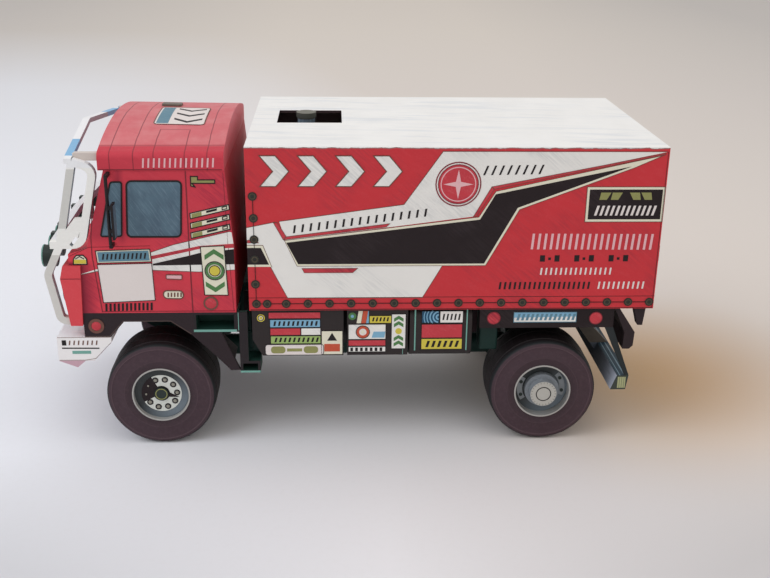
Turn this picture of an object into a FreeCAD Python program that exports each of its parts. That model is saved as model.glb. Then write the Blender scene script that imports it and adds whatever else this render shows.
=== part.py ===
import FreeCAD
import Part
import math
import os

# Card model of a four-wheel cab-over rally truck, in millimetres.
# The nose looks towards -Y, +X is the truck's left side, and the ground is z = 0.
# Stations along the truck are measured from the front face of the cargo cover
# and moved to the middle of the whole length when a piece is saved.

# Card and clearances
CARD = 0.8
RUNNING_CLEARANCE = 0.05
WHEEL_SIDE_GAP = 0.8

# Wheels
TYRE_RADIUS = 16.9
TYRE_CROWN_DROP = 0.4
TYRE_CROWN_WIDTH = 9.0
TYRE_SHOULDER = 0.7
TYRE_WIDTH = 17.0
TYRE_FACETS = 64
RIM_RADIUS = 8.9
RIM_WALL = 0.45
RIM_PROUD = 0.2
RIM_INSET = 0.8
DISC_THICKNESS = 1.4
HUB_RADIUS = 3.2
FRONT_RECESS = 1.4
REAR_RECESS = 3.0
FRONT_CAP_RADIUS = 2.1
FRONT_CAP_HEIGHT = 0.8
REAR_DRUM_RADIUS = 5.4
REAR_DRUM_HEIGHT = 2.0
REAR_CAP_RADIUS = 4.2
REAR_CAP_HEIGHT = 2.8

# Widths
CAB_HALF_WIDTH = 38.0
COVER_PROUD = 1.0
TYRE_PROUD = 1.0
BEAM_HALF_WIDTH = 12.0
SIDE_BOX_DEPTH = 16.0

# Heights, each above or below the piece that carries it
DECK_CLEARANCE = 10.9
COVER_HEIGHT = 50.2
CAB_DROP = 0.9
BEAM_DEPTH = 9.8
BELT_RISE = 21.8
NOSE_HEIGHT = 18.6
LEDGE_RISE = 1.7
SCREEN_HEIGHT = 23.4
SIDE_BOX_HEIGHT = 15.3

# Lengths, from the gap between cab and body
CAB_GAP = 4.0
LEDGE_DEPTH = 5.6
SCREEN_RAKE = 6.4
REAR_WALL_LEAN = 2.0
FRONT_AXLE_SETBACK = 24.0
FRONT_OVERHANG = 24.5
LOCKER_FRONT = 0.6
LOCKER_LENGTH = 27.7
BATTERY_GAP = 1.1
BATTERY_LENGTH = 18.6
TANK_GAP = 0.6
TANK_LENGTH = 19.1
REAR_WHEEL_GAP = 6.1
REAR_OVERHANG = 15.5

# Cargo body
HATCH_LENGTH = 20.4
HATCH_WIDTH = 20.0
HATCH_STATION = 7.8
HATCH_OFFSET = -4.3
FLOOR_THICKNESS = 1.2
BEARER_LENGTH = 3.0
BEARER_COUNT = 4
BEARER_INSET = 5.0
STACK_RADIUS = 2.8
STACK_CAP_RADIUS = 3.2
STACK_CAP_HEIGHT = 1.6
STACK_RISE = 1.5
STACK_SETBACK = 1.2

# Cab
CAB_FLOOR_THICKNESS = 1.2
TUMBLEHOME = 1.0
VISOR_OVERHANG = 1.5
ROOF_PROUD = 0.3
ROOF_FRONT_RISE = 10.7
ROOF_REAR_RISE = 9.9
ROOF_SPRING_RISE = 3.4
ROOF_SHOULDER = 2.0

# Nose pieces
CORNER_WIDTH = 7.5
CORNER_PROUD = 2.8
CORNER_SIDE_PROUD = 0.8
CORNER_DEPTH = 6.2
CORNER_TOP_DROP = 3.4
CORNER_BEVEL = 1.0
CORNER_CREASE_DROP = 4.0
CORNER_HANG = 3.8
CORNER_FOOT_PROUD = 0.9
CORNER_FOOT_DEPTH = 3.5
GRILLE_SIDE_GAP = 2.5
GRILLE_FOOT_GAP = 1.2
GRILLE_HEAD_GAP = 1.9
BUMPER_PROUD = 5.8
BUMPER_SPRING_GAP = 2.5
BUMPER_DROP = 7.8
BUMPER_HEIGHT = 7.8
BUMPER_TAIL = 1.8
BUMPER_FLAT = 2.8
BUMPER_HEEL_INSET = 2.4
BUMPER_HEEL_RISE = 4.0
BUMPER_LIP_DROP = 2.2
BUMPER_LIP_LENGTH = 8.1
BUMPER_LIP_TIP = 5.5

# Front guard
BAR_WIDTH = 2.2
BAR_TOP_REACH = 7.1
BAR_TOP_RISE = 3.6
BAR_TOP_LEAD = 1.0
BAR_TOP_HEIGHT = 1.5
BAR_PEAK_RISE = 4.0
BAR_PEAK_REACH = 2.3
BAR_NODE_REACH = 2.1
BAR_NODE_RISE = 2.8
BAR_GUSSET_FRONT = 4.7
BAR_GUSSET_REAR = 8.0
BAR_GUSSET_STEP = 3.4
BAR_SLOT_LENGTH = 3.1
BAR_SLOT_WIDTH = 0.9
BAR_SLOT_TURN = math.radians(38)
BAR_CROSS_REACH = 1.8
BAR_CROSS_BOW = 1.5
BAR_ELBOW_REACH = 6.5
BAR_ELBOW_DROP = 6.4
BAR_FOOT_REACH = 3.9
BAR_FOOT_RISE = 1.6
BAR_PILLAR_GAP = 2.7
BAR_PILLAR_DROP = 3.0
BAR_BEND_STEPS = 5
BAR_BEND_RADIUS = 3.4
LAMP_RADIUS = 3.35
LAMP_DEPTH = 4.0
LAMP_PITCH = 10.0
LAMP_COUNT = 6
LAMP_DROP = 7.5
LAMP_STANDOFF = 1.1
LAMP_TAB_WIDTH = 2.4
LAMP_TAB_RISE = 1.5
LAMP_TAB_LAP = 1.2

# Mirrors
MIRROR_ROD_RADIUS = 0.5
MIRROR_SETBACK = 1.4
MIRROR_REACH = 3.2
MIRROR_TOP_DROP = 0.4
MIRROR_FOOT_RISE = 0.6
MIRROR_WIDTH = 3.6
MIRROR_HEIGHT = 10.5
MIRROR_GLASS_DROP = 7.8
MIRROR_GLASS_INSET = 0.2
MIRROR_GLASS_SETBACK = 1.4
MIRROR_CLIP_HEIGHT = 1.2
MIRROR_THICKNESS = 0.7

# Fenders, mudguards and steps
FENDER_THICKNESS = 1.2
FENDER_SETBACK = 2.7
ARCH_GAP = 7.1
ARCH_HEAD_REACH = 9.8
ARCH_CREST_REACH = 4.1
ARCH_TRAY_GAP = 0.8
ARCH_KNEE_REACH = 15.8
ARCH_KNEE_RISE = 14.2
STEP_SETBACK = 11.0
STEP_DROP = 6.4
STEP_DEPTH = 8.0
POST_DEPTH = 1.6
STEP_LIP = 0.8
POST_GAP = 0.8
POST_LENGTH = 2.6
LOWER_TRAY_DROP = 1.8
LOWER_TRAY_HEIGHT = 3.9
LOWER_TRAY_LENGTH = 6.2
STEP_POST_GAP = 0.6
LEG_FOOT_RISE = 0.9
LEG_HEAD_GAP = 4.9
LEG_FOOT_LENGTH = 2.9
LINER_THICKNESS = 0.8
LINER_WIDTH = 15.0

# Chassis and axles
TUBE_RADIUS = 3.5
DIFF_LENGTH = 13.0
DIFF_WIDTH = 11.0
DIFF_HEIGHT = 12.0
DIFF_BEVEL = 2.5
HALF_AXLE_RADIUS = 2.2
DRUM_RADIUS = 5.4
DRUM_WIDTH = 3.6
STUB_RADIUS = 1.5
SPRING_INSET = 0.6
SPRING_WIDTH = 3.6
SPRING_HALF_LENGTH = 11.5
SPRING_SAG = 7.0
SPRING_LEAF = 2.6

# Side boxes and rear pieces
LOCKER_GUSSET_RISE = 5.4
LOCKER_GUSSET_LENGTH = 3.0
TANK_CORNER = 4.0
TANK_DROP = 1.2
RAIL_GAP = 2.3
RAIL_HEIGHT = 6.6
RAIL_THICKNESS = 2.0
VALANCE_GAP = 3.9
VALANCE_HEAD_LENGTH = 1.4
VALANCE_THICKNESS = 3.2
VALANCE_KNEE_SETBACK = 7.0
VALANCE_KNEE_DROP = 8.3
VALANCE_FOOT_SETBACK = 6.8
VALANCE_FOOT_BEVEL = 1.1
VALANCE_HEIGHT = 13.9
TONGUE_REAR_INSET = 1.9
TONGUE_LENGTH = 3.7
TONGUE_TAPER_FRONT = 1.6
TONGUE_TAPER_REAR = 0.6
TONGUE_HEIGHT = 5.9
TONGUE_WIDTH = 3.0
TONGUE_INSET = 1.0
UNDERRUN_GAP = 6.7
UNDERRUN_LENGTH = 3.7
UNDERRUN_HEIGHT = 4.8
UNDERRUN_DROP = 12.4
UNDERRUN_LEAN = 1.8
UNDERRUN_TUCK = 0.7
STAY_HEAD_GAP = 9.0
STAY_HEAD_LENGTH = 2.6
STAY_FOOT_LENGTH = 1.4
STRUT_GAP = 0.4
STRUT_WIDTH = 3.0
STRUT_DEPTH = 3.4
STRUT_FOOT_RISE = 1.0

# Worked out from the values above
AXLE_HEIGHT = TYRE_RADIUS
TYRE_FACE_X = CAB_HALF_WIDTH + TYRE_PROUD
COVER_BOTTOM = 2 * TYRE_RADIUS + DECK_CLEARANCE
COVER_TOP = COVER_BOTTOM + COVER_HEIGHT
COVER_HALF_WIDTH = CAB_HALF_WIDTH + COVER_PROUD
CAB_BOTTOM = COVER_BOTTOM - CAB_DROP
BEAM_TOP = CAB_BOTTOM
BEAM_BOTTOM = BEAM_TOP - BEAM_DEPTH
BELT = CAB_BOTTOM + BELT_RISE
NOSE_TOP = CAB_BOTTOM + NOSE_HEIGHT
SCREEN_FOOT_Z = NOSE_TOP + LEDGE_RISE
CAB_EAVES = SCREEN_FOOT_Z + SCREEN_HEIGHT
CAB_REAR = -CAB_GAP
CAB_REAR_EAVES = CAB_REAR - REAR_WALL_LEAN
FRONT_AXLE_STATION = CAB_REAR - FRONT_AXLE_SETBACK
NOSE_FRONT = FRONT_AXLE_STATION - FRONT_OVERHANG
SCREEN_FOOT_Y = NOSE_FRONT + LEDGE_DEPTH
SCREEN_HEAD_Y = SCREEN_FOOT_Y + SCREEN_RAKE
ROOF_FRONT = SCREEN_HEAD_Y - VISOR_OVERHANG
ROOF_HALF_WIDTH = CAB_HALF_WIDTH - TUMBLEHOME + ROOF_PROUD
LOCKER_REAR = LOCKER_FRONT + LOCKER_LENGTH
BATTERY_FRONT = LOCKER_REAR + BATTERY_GAP
BATTERY_REAR = BATTERY_FRONT + BATTERY_LENGTH
TANK_FRONT = BATTERY_REAR + TANK_GAP
TANK_REAR = TANK_FRONT + TANK_LENGTH
REAR_AXLE_STATION = TANK_REAR + REAR_WHEEL_GAP + TYRE_RADIUS
REAR_TYRE_BACK = REAR_AXLE_STATION + TYRE_RADIUS
COVER_LENGTH = REAR_TYRE_BACK + REAR_OVERHANG
VALANCE_FRONT = REAR_TYRE_BACK + VALANCE_GAP
SIDE_BOX_OUTER = CAB_HALF_WIDTH
SIDE_BOX_INNER = SIDE_BOX_OUTER - SIDE_BOX_DEPTH
SIDE_BOX_BOTTOM = COVER_BOTTOM - SIDE_BOX_HEIGHT
CORNER_TOP = NOSE_TOP - CORNER_TOP_DROP
CORNER_BOTTOM = CAB_BOTTOM - CORNER_HANG
CORNER_FRONT = NOSE_FRONT - CORNER_PROUD
CORNER_REAR = CORNER_FRONT + CORNER_DEPTH
CORNER_FOOT_FRONT = NOSE_FRONT - CORNER_FOOT_PROUD
CORNER_FOOT_REAR = CORNER_FOOT_FRONT + CORNER_FOOT_DEPTH
BUMPER_FRONT = NOSE_FRONT - BUMPER_PROUD
BUMPER_REAR = FRONT_AXLE_STATION - SPRING_HALF_LENGTH - BUMPER_SPRING_GAP
BUMPER_TOP = CAB_BOTTOM - BUMPER_DROP
BUMPER_BOTTOM = BUMPER_TOP - BUMPER_HEIGHT
BEAM_FRONT = BUMPER_REAR
BEAM_REAR = VALANCE_FRONT - CARD
BAR_NODE_Y = NOSE_FRONT - BAR_NODE_REACH
BAR_NODE_Z = NOSE_TOP + BAR_NODE_RISE
BAR_TOP_Y = ROOF_FRONT - BAR_TOP_REACH
BAR_TOP_Z = CAB_EAVES + BAR_TOP_RISE
CROSS_BAR_Y = BAR_NODE_Y - BAR_CROSS_REACH
CROSS_BAR_FRONT = CROSS_BAR_Y - BAR_WIDTH / 2
LAMP_FRONT = CROSS_BAR_FRONT - BAR_CROSS_BOW * (1 - LAMP_PITCH / 2 / CAB_HALF_WIDTH) - LAMP_STANDOFF - LAMP_DEPTH
LAMP_Z = BAR_NODE_Z - LAMP_DROP
MIRROR_ROD_X = CAB_HALF_WIDTH + MIRROR_REACH
MIRROR_STATION = SCREEN_HEAD_Y + MIRROR_SETBACK
MIRROR_TOP = CAB_EAVES - MIRROR_TOP_DROP
MIRROR_BOTTOM = BELT + MIRROR_FOOT_RISE
MIRROR_GLASS_TOP = MIRROR_TOP - MIRROR_GLASS_DROP
ARCH_TOP = 2 * TYRE_RADIUS + ARCH_GAP
FENDER_FRONT = NOSE_FRONT + FENDER_SETBACK
STEP_FRONT = FRONT_AXLE_STATION + STEP_SETBACK
STEP_TRAY_Z = CAB_BOTTOM - STEP_DROP
POST_REAR = -POST_GAP
POST_FRONT = POST_REAR - POST_LENGTH
STEP_REAR = POST_FRONT - STEP_POST_GAP
LOWER_TRAY_TOP = SIDE_BOX_BOTTOM - LOWER_TRAY_DROP
LOWER_TRAY_BOTTOM = LOWER_TRAY_TOP - LOWER_TRAY_HEIGHT
LOWER_TRAY_REAR = POST_FRONT + LOWER_TRAY_LENGTH
LEG_FOOT_Z = LOWER_TRAY_BOTTOM + LEG_FOOT_RISE
LEG_HEAD_REAR = STEP_REAR - LEG_HEAD_GAP
SPRING_X = BEAM_HALF_WIDTH - SPRING_INSET - SPRING_WIDTH / 2
LOCKER_GUSSET_Z = SIDE_BOX_BOTTOM + LOCKER_GUSSET_RISE
LOCKER_GUSSET_Y = LOCKER_FRONT + LOCKER_GUSSET_LENGTH
RAIL_FRONT = TANK_REAR + RAIL_GAP
RAIL_BOTTOM = COVER_BOTTOM - RAIL_HEIGHT
VALANCE_KNEE_Y = VALANCE_FRONT + VALANCE_KNEE_SETBACK
VALANCE_KNEE_Z = COVER_BOTTOM - VALANCE_KNEE_DROP
VALANCE_FOOT_Y = VALANCE_FRONT + VALANCE_FOOT_SETBACK
VALANCE_BOTTOM = COVER_BOTTOM - VALANCE_HEIGHT
TONGUE_REAR = COVER_LENGTH - TONGUE_REAR_INSET
TONGUE_FRONT = TONGUE_REAR - TONGUE_LENGTH
TONGUE_BOTTOM = COVER_BOTTOM - TONGUE_HEIGHT
UNDERRUN_FRONT = REAR_TYRE_BACK + UNDERRUN_GAP
UNDERRUN_REAR = UNDERRUN_FRONT + UNDERRUN_LENGTH
UNDERRUN_TOP = BEAM_BOTTOM - UNDERRUN_DROP
UNDERRUN_BOTTOM = UNDERRUN_TOP - UNDERRUN_HEIGHT
STRUT_HEAD = REAR_AXLE_STATION + SPRING_HALF_LENGTH + STRUT_GAP
MID_STATION = (LAMP_FRONT + COVER_LENGTH) / 2

# Room that a cutting tool takes beyond the piece it cuts
SPARE = 5.0


def vec(x, y, z):
    return FreeCAD.Vector(x, y, z)


def block(x_span, y_span, z_span):
    """Box between the two ends of each span."""
    low = [min(span) for span in (x_span, y_span, z_span)]
    size = [abs(span[1] - span[0]) for span in (x_span, y_span, z_span)]
    return Part.makeBox(size[0], size[1], size[2], vec(low[0], low[1], low[2]))


def side_prism(outline, x_low, x_high):
    """Prism along X from an outline of (station, height) points."""
    corners = [vec(x_low, y, z) for y, z in outline]
    wire = Part.makePolygon(corners + corners[:1])
    return Part.Face(wire).extrude(vec(x_high - x_low, 0, 0))


def front_prism(outline, y_low, y_high):
    """Prism along Y from an outline of (x, height) points."""
    corners = [vec(x, y_low, z) for x, z in outline]
    wire = Part.makePolygon(corners + corners[:1])
    return Part.Face(wire).extrude(vec(0, y_high - y_low, 0))


def rod(start, end, radius):
    """Round rod from start to end."""
    along = end.sub(start)
    return Part.makeCylinder(radius, along.Length, start, along)


def across(shape):
    """The same piece on the truck's other side."""
    return shape.mirror(vec(0, 0, 0), vec(1, 0, 0))


def fused(shapes):
    """One solid from pieces that share faces."""
    joined = shapes[0].fuse(shapes[1:]) if len(shapes) > 1 else shapes[0]
    return joined.removeSplitter()


def save(node, shape):
    """Write one node, moved so that the middle of the length is y = 0."""
    placed = shape.copy()
    placed.translate(vec(0, -MID_STATION, 0))
    placed.exportStep("parts/" + node + ".step")
    print(node, len(placed.Solids), round(placed.Volume, 1), placed.isValid())


def save_pair(name, shape):
    """Write a piece of the left side and its twin on the right."""
    save(name + "_left", shape)
    save(name + "_right", across(shape))


def cargo_cover():
    half = COVER_HALF_WIDTH
    outer = block((-half, half), (0, COVER_LENGTH), (COVER_BOTTOM, COVER_TOP))
    inside = block((-half + CARD, half - CARD), (CARD, COVER_LENGTH - CARD), (COVER_BOTTOM - 1, COVER_TOP - CARD))
    hatch = block(
        (HATCH_OFFSET - HATCH_WIDTH / 2, HATCH_OFFSET + HATCH_WIDTH / 2),
        (HATCH_STATION, HATCH_STATION + HATCH_LENGTH),
        (COVER_TOP - 2 * CARD, COVER_TOP + 1),
    )
    return outer.cut(inside).cut(hatch)


def cargo_floor():
    half = COVER_HALF_WIDTH - CARD
    pieces = [block((-half, half), (CARD, COVER_LENGTH - CARD), (COVER_BOTTOM, COVER_BOTTOM + FLOOR_THICKNESS))]
    first = BEARER_INSET
    last = BEAM_REAR - BEARER_INSET - BEARER_LENGTH
    for index in range(BEARER_COUNT):
        station = first + (last - first) * index / (BEARER_COUNT - 1)
        pieces.append(
            block(
                (-BEAM_HALF_WIDTH, BEAM_HALF_WIDTH),
                (station, station + BEARER_LENGTH),
                (BEAM_TOP, COVER_BOTTOM),
            )
        )
    return fused(pieces)


def stack_station():
    return HATCH_STATION + HATCH_LENGTH / 2 - STACK_SETBACK


def stack_cap_base():
    return COVER_TOP + STACK_RISE - STACK_CAP_HEIGHT


def intake_stack():
    foot = vec(HATCH_OFFSET, stack_station(), COVER_BOTTOM + FLOOR_THICKNESS)
    head = vec(HATCH_OFFSET, stack_station(), stack_cap_base())
    return rod(foot, head, STACK_RADIUS)


def intake_cap():
    foot = vec(HATCH_OFFSET, stack_station(), stack_cap_base())
    head = vec(HATCH_OFFSET, stack_station(), stack_cap_base() + STACK_CAP_HEIGHT)
    return rod(foot, head, STACK_CAP_RADIUS)


def cab_outline(inset, low, high):
    """Side outline of the cab, moved inwards by the inset, from a low to a high level."""
    slope = (SCREEN_HEAD_Y - SCREEN_FOOT_Y) / (CAB_EAVES - SCREEN_FOOT_Z)
    back = inset * math.sqrt(1 + slope * slope)
    foot_z = SCREEN_FOOT_Z - inset
    foot_y = SCREEN_FOOT_Y + back - inset * slope
    head_y = foot_y + slope * (high - foot_z)
    rear_lean = (CAB_REAR_EAVES - CAB_REAR) / (CAB_EAVES - BELT)
    rear_y = CAB_REAR - inset + rear_lean * (high - BELT)
    return [
        (NOSE_FRONT + inset, low),
        (NOSE_FRONT + inset, NOSE_TOP - inset),
        (foot_y, foot_z),
        (head_y, high),
        (rear_y, high),
        (CAB_REAR - inset, BELT),
        (CAB_REAR - inset, low),
    ]


def corner_outline(grow):
    """Side outline of a corner box, grown rearwards and upwards."""
    return [
        (CORNER_FRONT + CORNER_BEVEL, CORNER_TOP + grow),
        (CORNER_FRONT, CORNER_TOP - CORNER_CREASE_DROP),
        (CORNER_FOOT_FRONT, CORNER_BOTTOM),
        (CORNER_FOOT_REAR + grow, CORNER_BOTTOM),
        (CORNER_REAR + grow, CORNER_TOP + grow),
    ]


def corner_box():
    return side_prism(corner_outline(0), CAB_HALF_WIDTH - CORNER_WIDTH, CAB_HALF_WIDTH + CORNER_SIDE_PROUD)


def corner_notch(grow):
    """Space that a corner box takes out of the cab."""
    front = CORNER_FRONT - SPARE
    slope = (CORNER_REAR - CORNER_FOOT_REAR) / (CORNER_TOP - CORNER_BOTTOM)
    low = CORNER_BOTTOM - SPARE
    deep = [
        (front, low),
        (front, CORNER_TOP + grow),
        (CORNER_REAR + grow, CORNER_TOP + grow),
        (CORNER_FOOT_REAR + grow - slope * SPARE, low),
    ]
    notch = side_prism(deep, CAB_HALF_WIDTH - CORNER_WIDTH - grow, CAB_HALF_WIDTH + SPARE)
    return notch.fuse(across(notch))


def tumblehome_cut(inset):
    """Wedge that the side leans in by above the belt."""
    edge = CAB_HALF_WIDTH - inset
    rise = CAB_EAVES - BELT
    head = edge - TUMBLEHOME * (rise + SPARE) / rise
    outline = [(edge, BELT), (edge + SPARE, BELT), (edge + SPARE, CAB_EAVES + SPARE), (head, CAB_EAVES + SPARE)]
    wedge = front_prism(outline, NOSE_FRONT - SPARE, CAB_REAR + SPARE)
    return wedge.fuse(across(wedge))


def cab_space():
    """Room inside the cab, open at its top and bottom."""
    reach = CAB_HALF_WIDTH - CARD
    inner = side_prism(cab_outline(CARD, CAB_BOTTOM - 1, CAB_EAVES + 1), -reach, reach)
    return inner.cut(tumblehome_cut(CARD)).cut(corner_notch(CARD))


def cab_body():
    """Cab from outside, as if it were full."""
    outer = side_prism(cab_outline(0, CAB_BOTTOM, CAB_EAVES), -CAB_HALF_WIDTH, CAB_HALF_WIDTH)
    return outer.cut(tumblehome_cut(0)).cut(corner_notch(0))


def cab_shell():
    return cab_body().cut(cab_space()).removeSplitter()


def roof_section(station, wall, crown_rise):
    """Arched cross-section of the roof: straight sides, round shoulders and a flat crown arc."""
    half = ROOF_HALF_WIDTH - wall
    top = CAB_EAVES + crown_rise - wall
    spring = CAB_EAVES + ROOF_SPRING_RISE
    radius = ROOF_SHOULDER - wall
    rise = top - spring
    centre_x = half - radius
    crown_radius = (centre_x ** 2 + rise ** 2 - radius ** 2) / (2 * (rise - radius))
    crown_centre = top - crown_radius
    lean = math.atan2(centre_x, spring - crown_centre)

    def at(x, z):
        return vec(x, station, z)

    def shoulder_point(angle):
        return centre_x + radius * math.sin(angle), spring + radius * math.cos(angle)

    touch = shoulder_point(lean)
    middle = shoulder_point((lean + math.pi / 2) / 2)
    foot = CAB_EAVES - wall
    edges = [
        Part.LineSegment(at(half, foot), at(half, spring)).toShape(),
        Part.Arc(at(half, spring), at(*middle), at(*touch)).toShape(),
        Part.Arc(at(*touch), at(0, top), at(-touch[0], touch[1])).toShape(),
        Part.Arc(at(-touch[0], touch[1]), at(-middle[0], middle[1]), at(-half, spring)).toShape(),
        Part.LineSegment(at(-half, spring), at(-half, foot)).toShape(),
        Part.LineSegment(at(-half, foot), at(half, foot)).toShape(),
    ]
    return Part.Wire(edges)


def roof_body(wall):
    front = roof_section(ROOF_FRONT + wall, wall, ROOF_FRONT_RISE)
    rear = roof_section(CAB_REAR_EAVES - wall, wall, ROOF_REAR_RISE)
    return Part.makeLoft([front, rear], True, True)


def cab_roof():
    return roof_body(0).cut(roof_body(CARD))


def cab_floor():
    reach = CAB_HALF_WIDTH
    slab = block((-reach, reach), (NOSE_FRONT, CAB_REAR), (CAB_BOTTOM, CAB_BOTTOM + CAB_FLOOR_THICKNESS))
    return cab_space().common(slab)


def nose_panel():
    half = CAB_HALF_WIDTH - CORNER_WIDTH - GRILLE_SIDE_GAP
    return block(
        (-half, half),
        (NOSE_FRONT - CARD, NOSE_FRONT),
        (CAB_BOTTOM + GRILLE_FOOT_GAP, NOSE_TOP - GRILLE_HEAD_GAP),
    )


def front_bumper():
    half = CAB_HALF_WIDTH
    outline = [
        (BUMPER_FRONT, BUMPER_TOP),
        (BUMPER_FRONT, BUMPER_BOTTOM),
        (BUMPER_FRONT + BUMPER_LIP_TIP, BUMPER_BOTTOM - BUMPER_LIP_DROP),
        (BUMPER_FRONT + BUMPER_LIP_LENGTH, BUMPER_BOTTOM),
        (BUMPER_FRONT + BUMPER_LIP_LENGTH + BUMPER_FLAT, BUMPER_BOTTOM),
        (BUMPER_REAR - BUMPER_HEEL_INSET, BUMPER_BOTTOM + BUMPER_HEEL_RISE),
        (BUMPER_REAR, BUMPER_TOP - BUMPER_TAIL),
        (BUMPER_REAR, BUMPER_TOP),
    ]
    return side_prism(outline, -half, half)


def strip(points, x_low, x_high, width):
    """Flat bar that follows a line of (station, height) points, with mitred corners."""
    half = width / 2
    left = []
    right = []
    for index, point in enumerate(points):
        before = points[max(index - 1, 0)]
        after = points[min(index + 1, len(points) - 1)]
        first = math.atan2(point[1] - before[1], point[0] - before[0]) if index else None
        second = math.atan2(after[1] - point[1], after[0] - point[0]) if index < len(points) - 1 else None
        first = second if first is None else first
        second = first if second is None else second
        turn = math.atan2(math.sin(second - first), math.cos(second - first))
        normal = first + turn / 2 + math.pi / 2
        reach = half / math.cos(turn / 2)
        left.append((point[0] + reach * math.cos(normal), point[1] + reach * math.sin(normal)))
        right.append((point[0] - reach * math.cos(normal), point[1] - reach * math.sin(normal)))
    return side_prism(left + right[::-1], x_low, x_high)


def rounded(points, radius):
    """The same line of points with each inner corner turned in short steps along an arc."""
    line = [points[0]]
    for before, corner, after in zip(points, points[1:], points[2:]):
        run_in = math.dist(before, corner)
        run_out = math.dist(corner, after)
        first = math.atan2(corner[1] - before[1], corner[0] - before[0])
        second = math.atan2(after[1] - corner[1], after[0] - corner[0])
        turn = math.atan2(math.sin(second - first), math.cos(second - first))
        cut = min(radius * math.tan(abs(turn) / 2), 0.45 * run_in, 0.45 * run_out)
        bend = cut / math.tan(abs(turn) / 2)
        side = math.copysign(1, turn)
        start = (corner[0] - cut * math.cos(first), corner[1] - cut * math.sin(first))
        centre = (start[0] - side * bend * math.sin(first), start[1] + side * bend * math.cos(first))
        for index in range(BAR_BEND_STEPS + 1):
            angle = first + turn * index / BAR_BEND_STEPS
            line.append((centre[0] + side * bend * math.sin(angle), centre[1] - side * bend * math.cos(angle)))
    line.append(points[-1])
    return line


def side_loop():
    """Side frame of the guard: front post, pillar strand, roof arm and lower bar."""
    outer = CAB_HALF_WIDTH
    inner = outer - BAR_WIDTH
    half = BAR_WIDTH / 2
    top = (BAR_TOP_Y, BAR_TOP_Z - half)
    node = (BAR_NODE_Y, BAR_NODE_Z)
    pillar_head = (SCREEN_HEAD_Y - BAR_PILLAR_GAP, BAR_TOP_Z - BAR_PILLAR_DROP)
    pillar_foot = (SCREEN_FOOT_Y - BAR_PILLAR_GAP / 2, BAR_NODE_Z)
    post = strip([top, node], inner, outer, BAR_WIDTH)
    strand = strip(rounded([top, pillar_head, pillar_foot, node], BAR_BEND_RADIUS), inner, outer, BAR_WIDTH)
    arm = block((inner - BAR_WIDTH, inner), (BAR_TOP_Y, ROOF_FRONT), (BAR_TOP_Z - half, BAR_TOP_Z + half))
    elbow = (NOSE_FRONT - BAR_ELBOW_REACH, NOSE_TOP - BAR_ELBOW_DROP)
    foot = (NOSE_FRONT - BAR_FOOT_REACH, CORNER_BOTTOM + BAR_FOOT_RISE)
    seat = (CORNER_FOOT_FRONT, CORNER_BOTTOM + half)
    lower = strip(rounded([node, elbow, foot, seat], BAR_BEND_RADIUS), inner, outer, BAR_WIDTH)
    along = (BAR_TOP_Y - BAR_NODE_Y) / (BAR_TOP_Z - half - BAR_NODE_Z)
    rear_along = (pillar_head[0] - pillar_foot[0]) / (pillar_head[1] - pillar_foot[1])
    gusset_rear = pillar_foot[0] + rear_along * BAR_GUSSET_REAR
    gusset = [
        node,
        (BAR_NODE_Y + along * BAR_GUSSET_FRONT, BAR_NODE_Z + BAR_GUSSET_FRONT),
        (BAR_NODE_Y + half + along * BAR_GUSSET_FRONT, BAR_NODE_Z + BAR_GUSSET_FRONT),
        (gusset_rear - BAR_GUSSET_STEP, BAR_NODE_Z + BAR_GUSSET_REAR),
        (gusset_rear, BAR_NODE_Z + BAR_GUSSET_REAR),
        (pillar_foot[0], BAR_NODE_Z + BAR_GUSSET_FRONT),
        (pillar_foot[0] - BAR_BEND_RADIUS / 2, BAR_NODE_Z),
    ]
    slot_reach = BAR_SLOT_LENGTH / 2
    slot_middle = (pillar_foot[0] - BAR_WIDTH, BAR_NODE_Z + half)
    slot_ends = [
        (slot_middle[0] - slot_reach * math.sin(BAR_SLOT_TURN), slot_middle[1] - slot_reach * math.cos(BAR_SLOT_TURN)),
        (slot_middle[0] + slot_reach * math.sin(BAR_SLOT_TURN), slot_middle[1] + slot_reach * math.cos(BAR_SLOT_TURN)),
    ]
    slot = strip(slot_ends, inner - 1, outer + 1, BAR_SLOT_WIDTH)
    plate = side_prism(gusset, inner, outer)
    corner = side_prism(corner_outline(0), inner - 1, outer + 1)
    return post.fuse([strand, arm, lower, plate]).cut([corner, slot])


def bowed_bar(end_y, end_z, reach, rise, height):
    """Flat bar across the truck that bows forward and up to its middle."""
    half = BAR_WIDTH / 2
    low = end_z + rise - height / 2
    high = end_z + rise + height / 2
    front = end_y - reach - half
    rear = end_y - reach + half
    section = [vec(0, front, low), vec(0, rear, low), vec(0, rear, high), vec(0, front, high)]
    middle = Part.Face(Part.makePolygon(section + section[:1]))
    left = middle.extrude(vec(CAB_HALF_WIDTH, reach, -rise))
    return fused([left, across(left)])


def cross_bar():
    return bowed_bar(CROSS_BAR_Y, BAR_NODE_Z, BAR_CROSS_BOW, 0, BAR_WIDTH)


def bull_bar():
    loop = side_loop()
    end_y = BAR_TOP_Y - BAR_TOP_LEAD
    end_z = BAR_TOP_Z - BAR_TOP_HEIGHT / 2
    top_bar = bowed_bar(end_y, end_z, BAR_PEAK_REACH, BAR_PEAK_RISE, BAR_TOP_HEIGHT)
    return fused([loop, across(loop), top_bar, cross_bar()])


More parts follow.
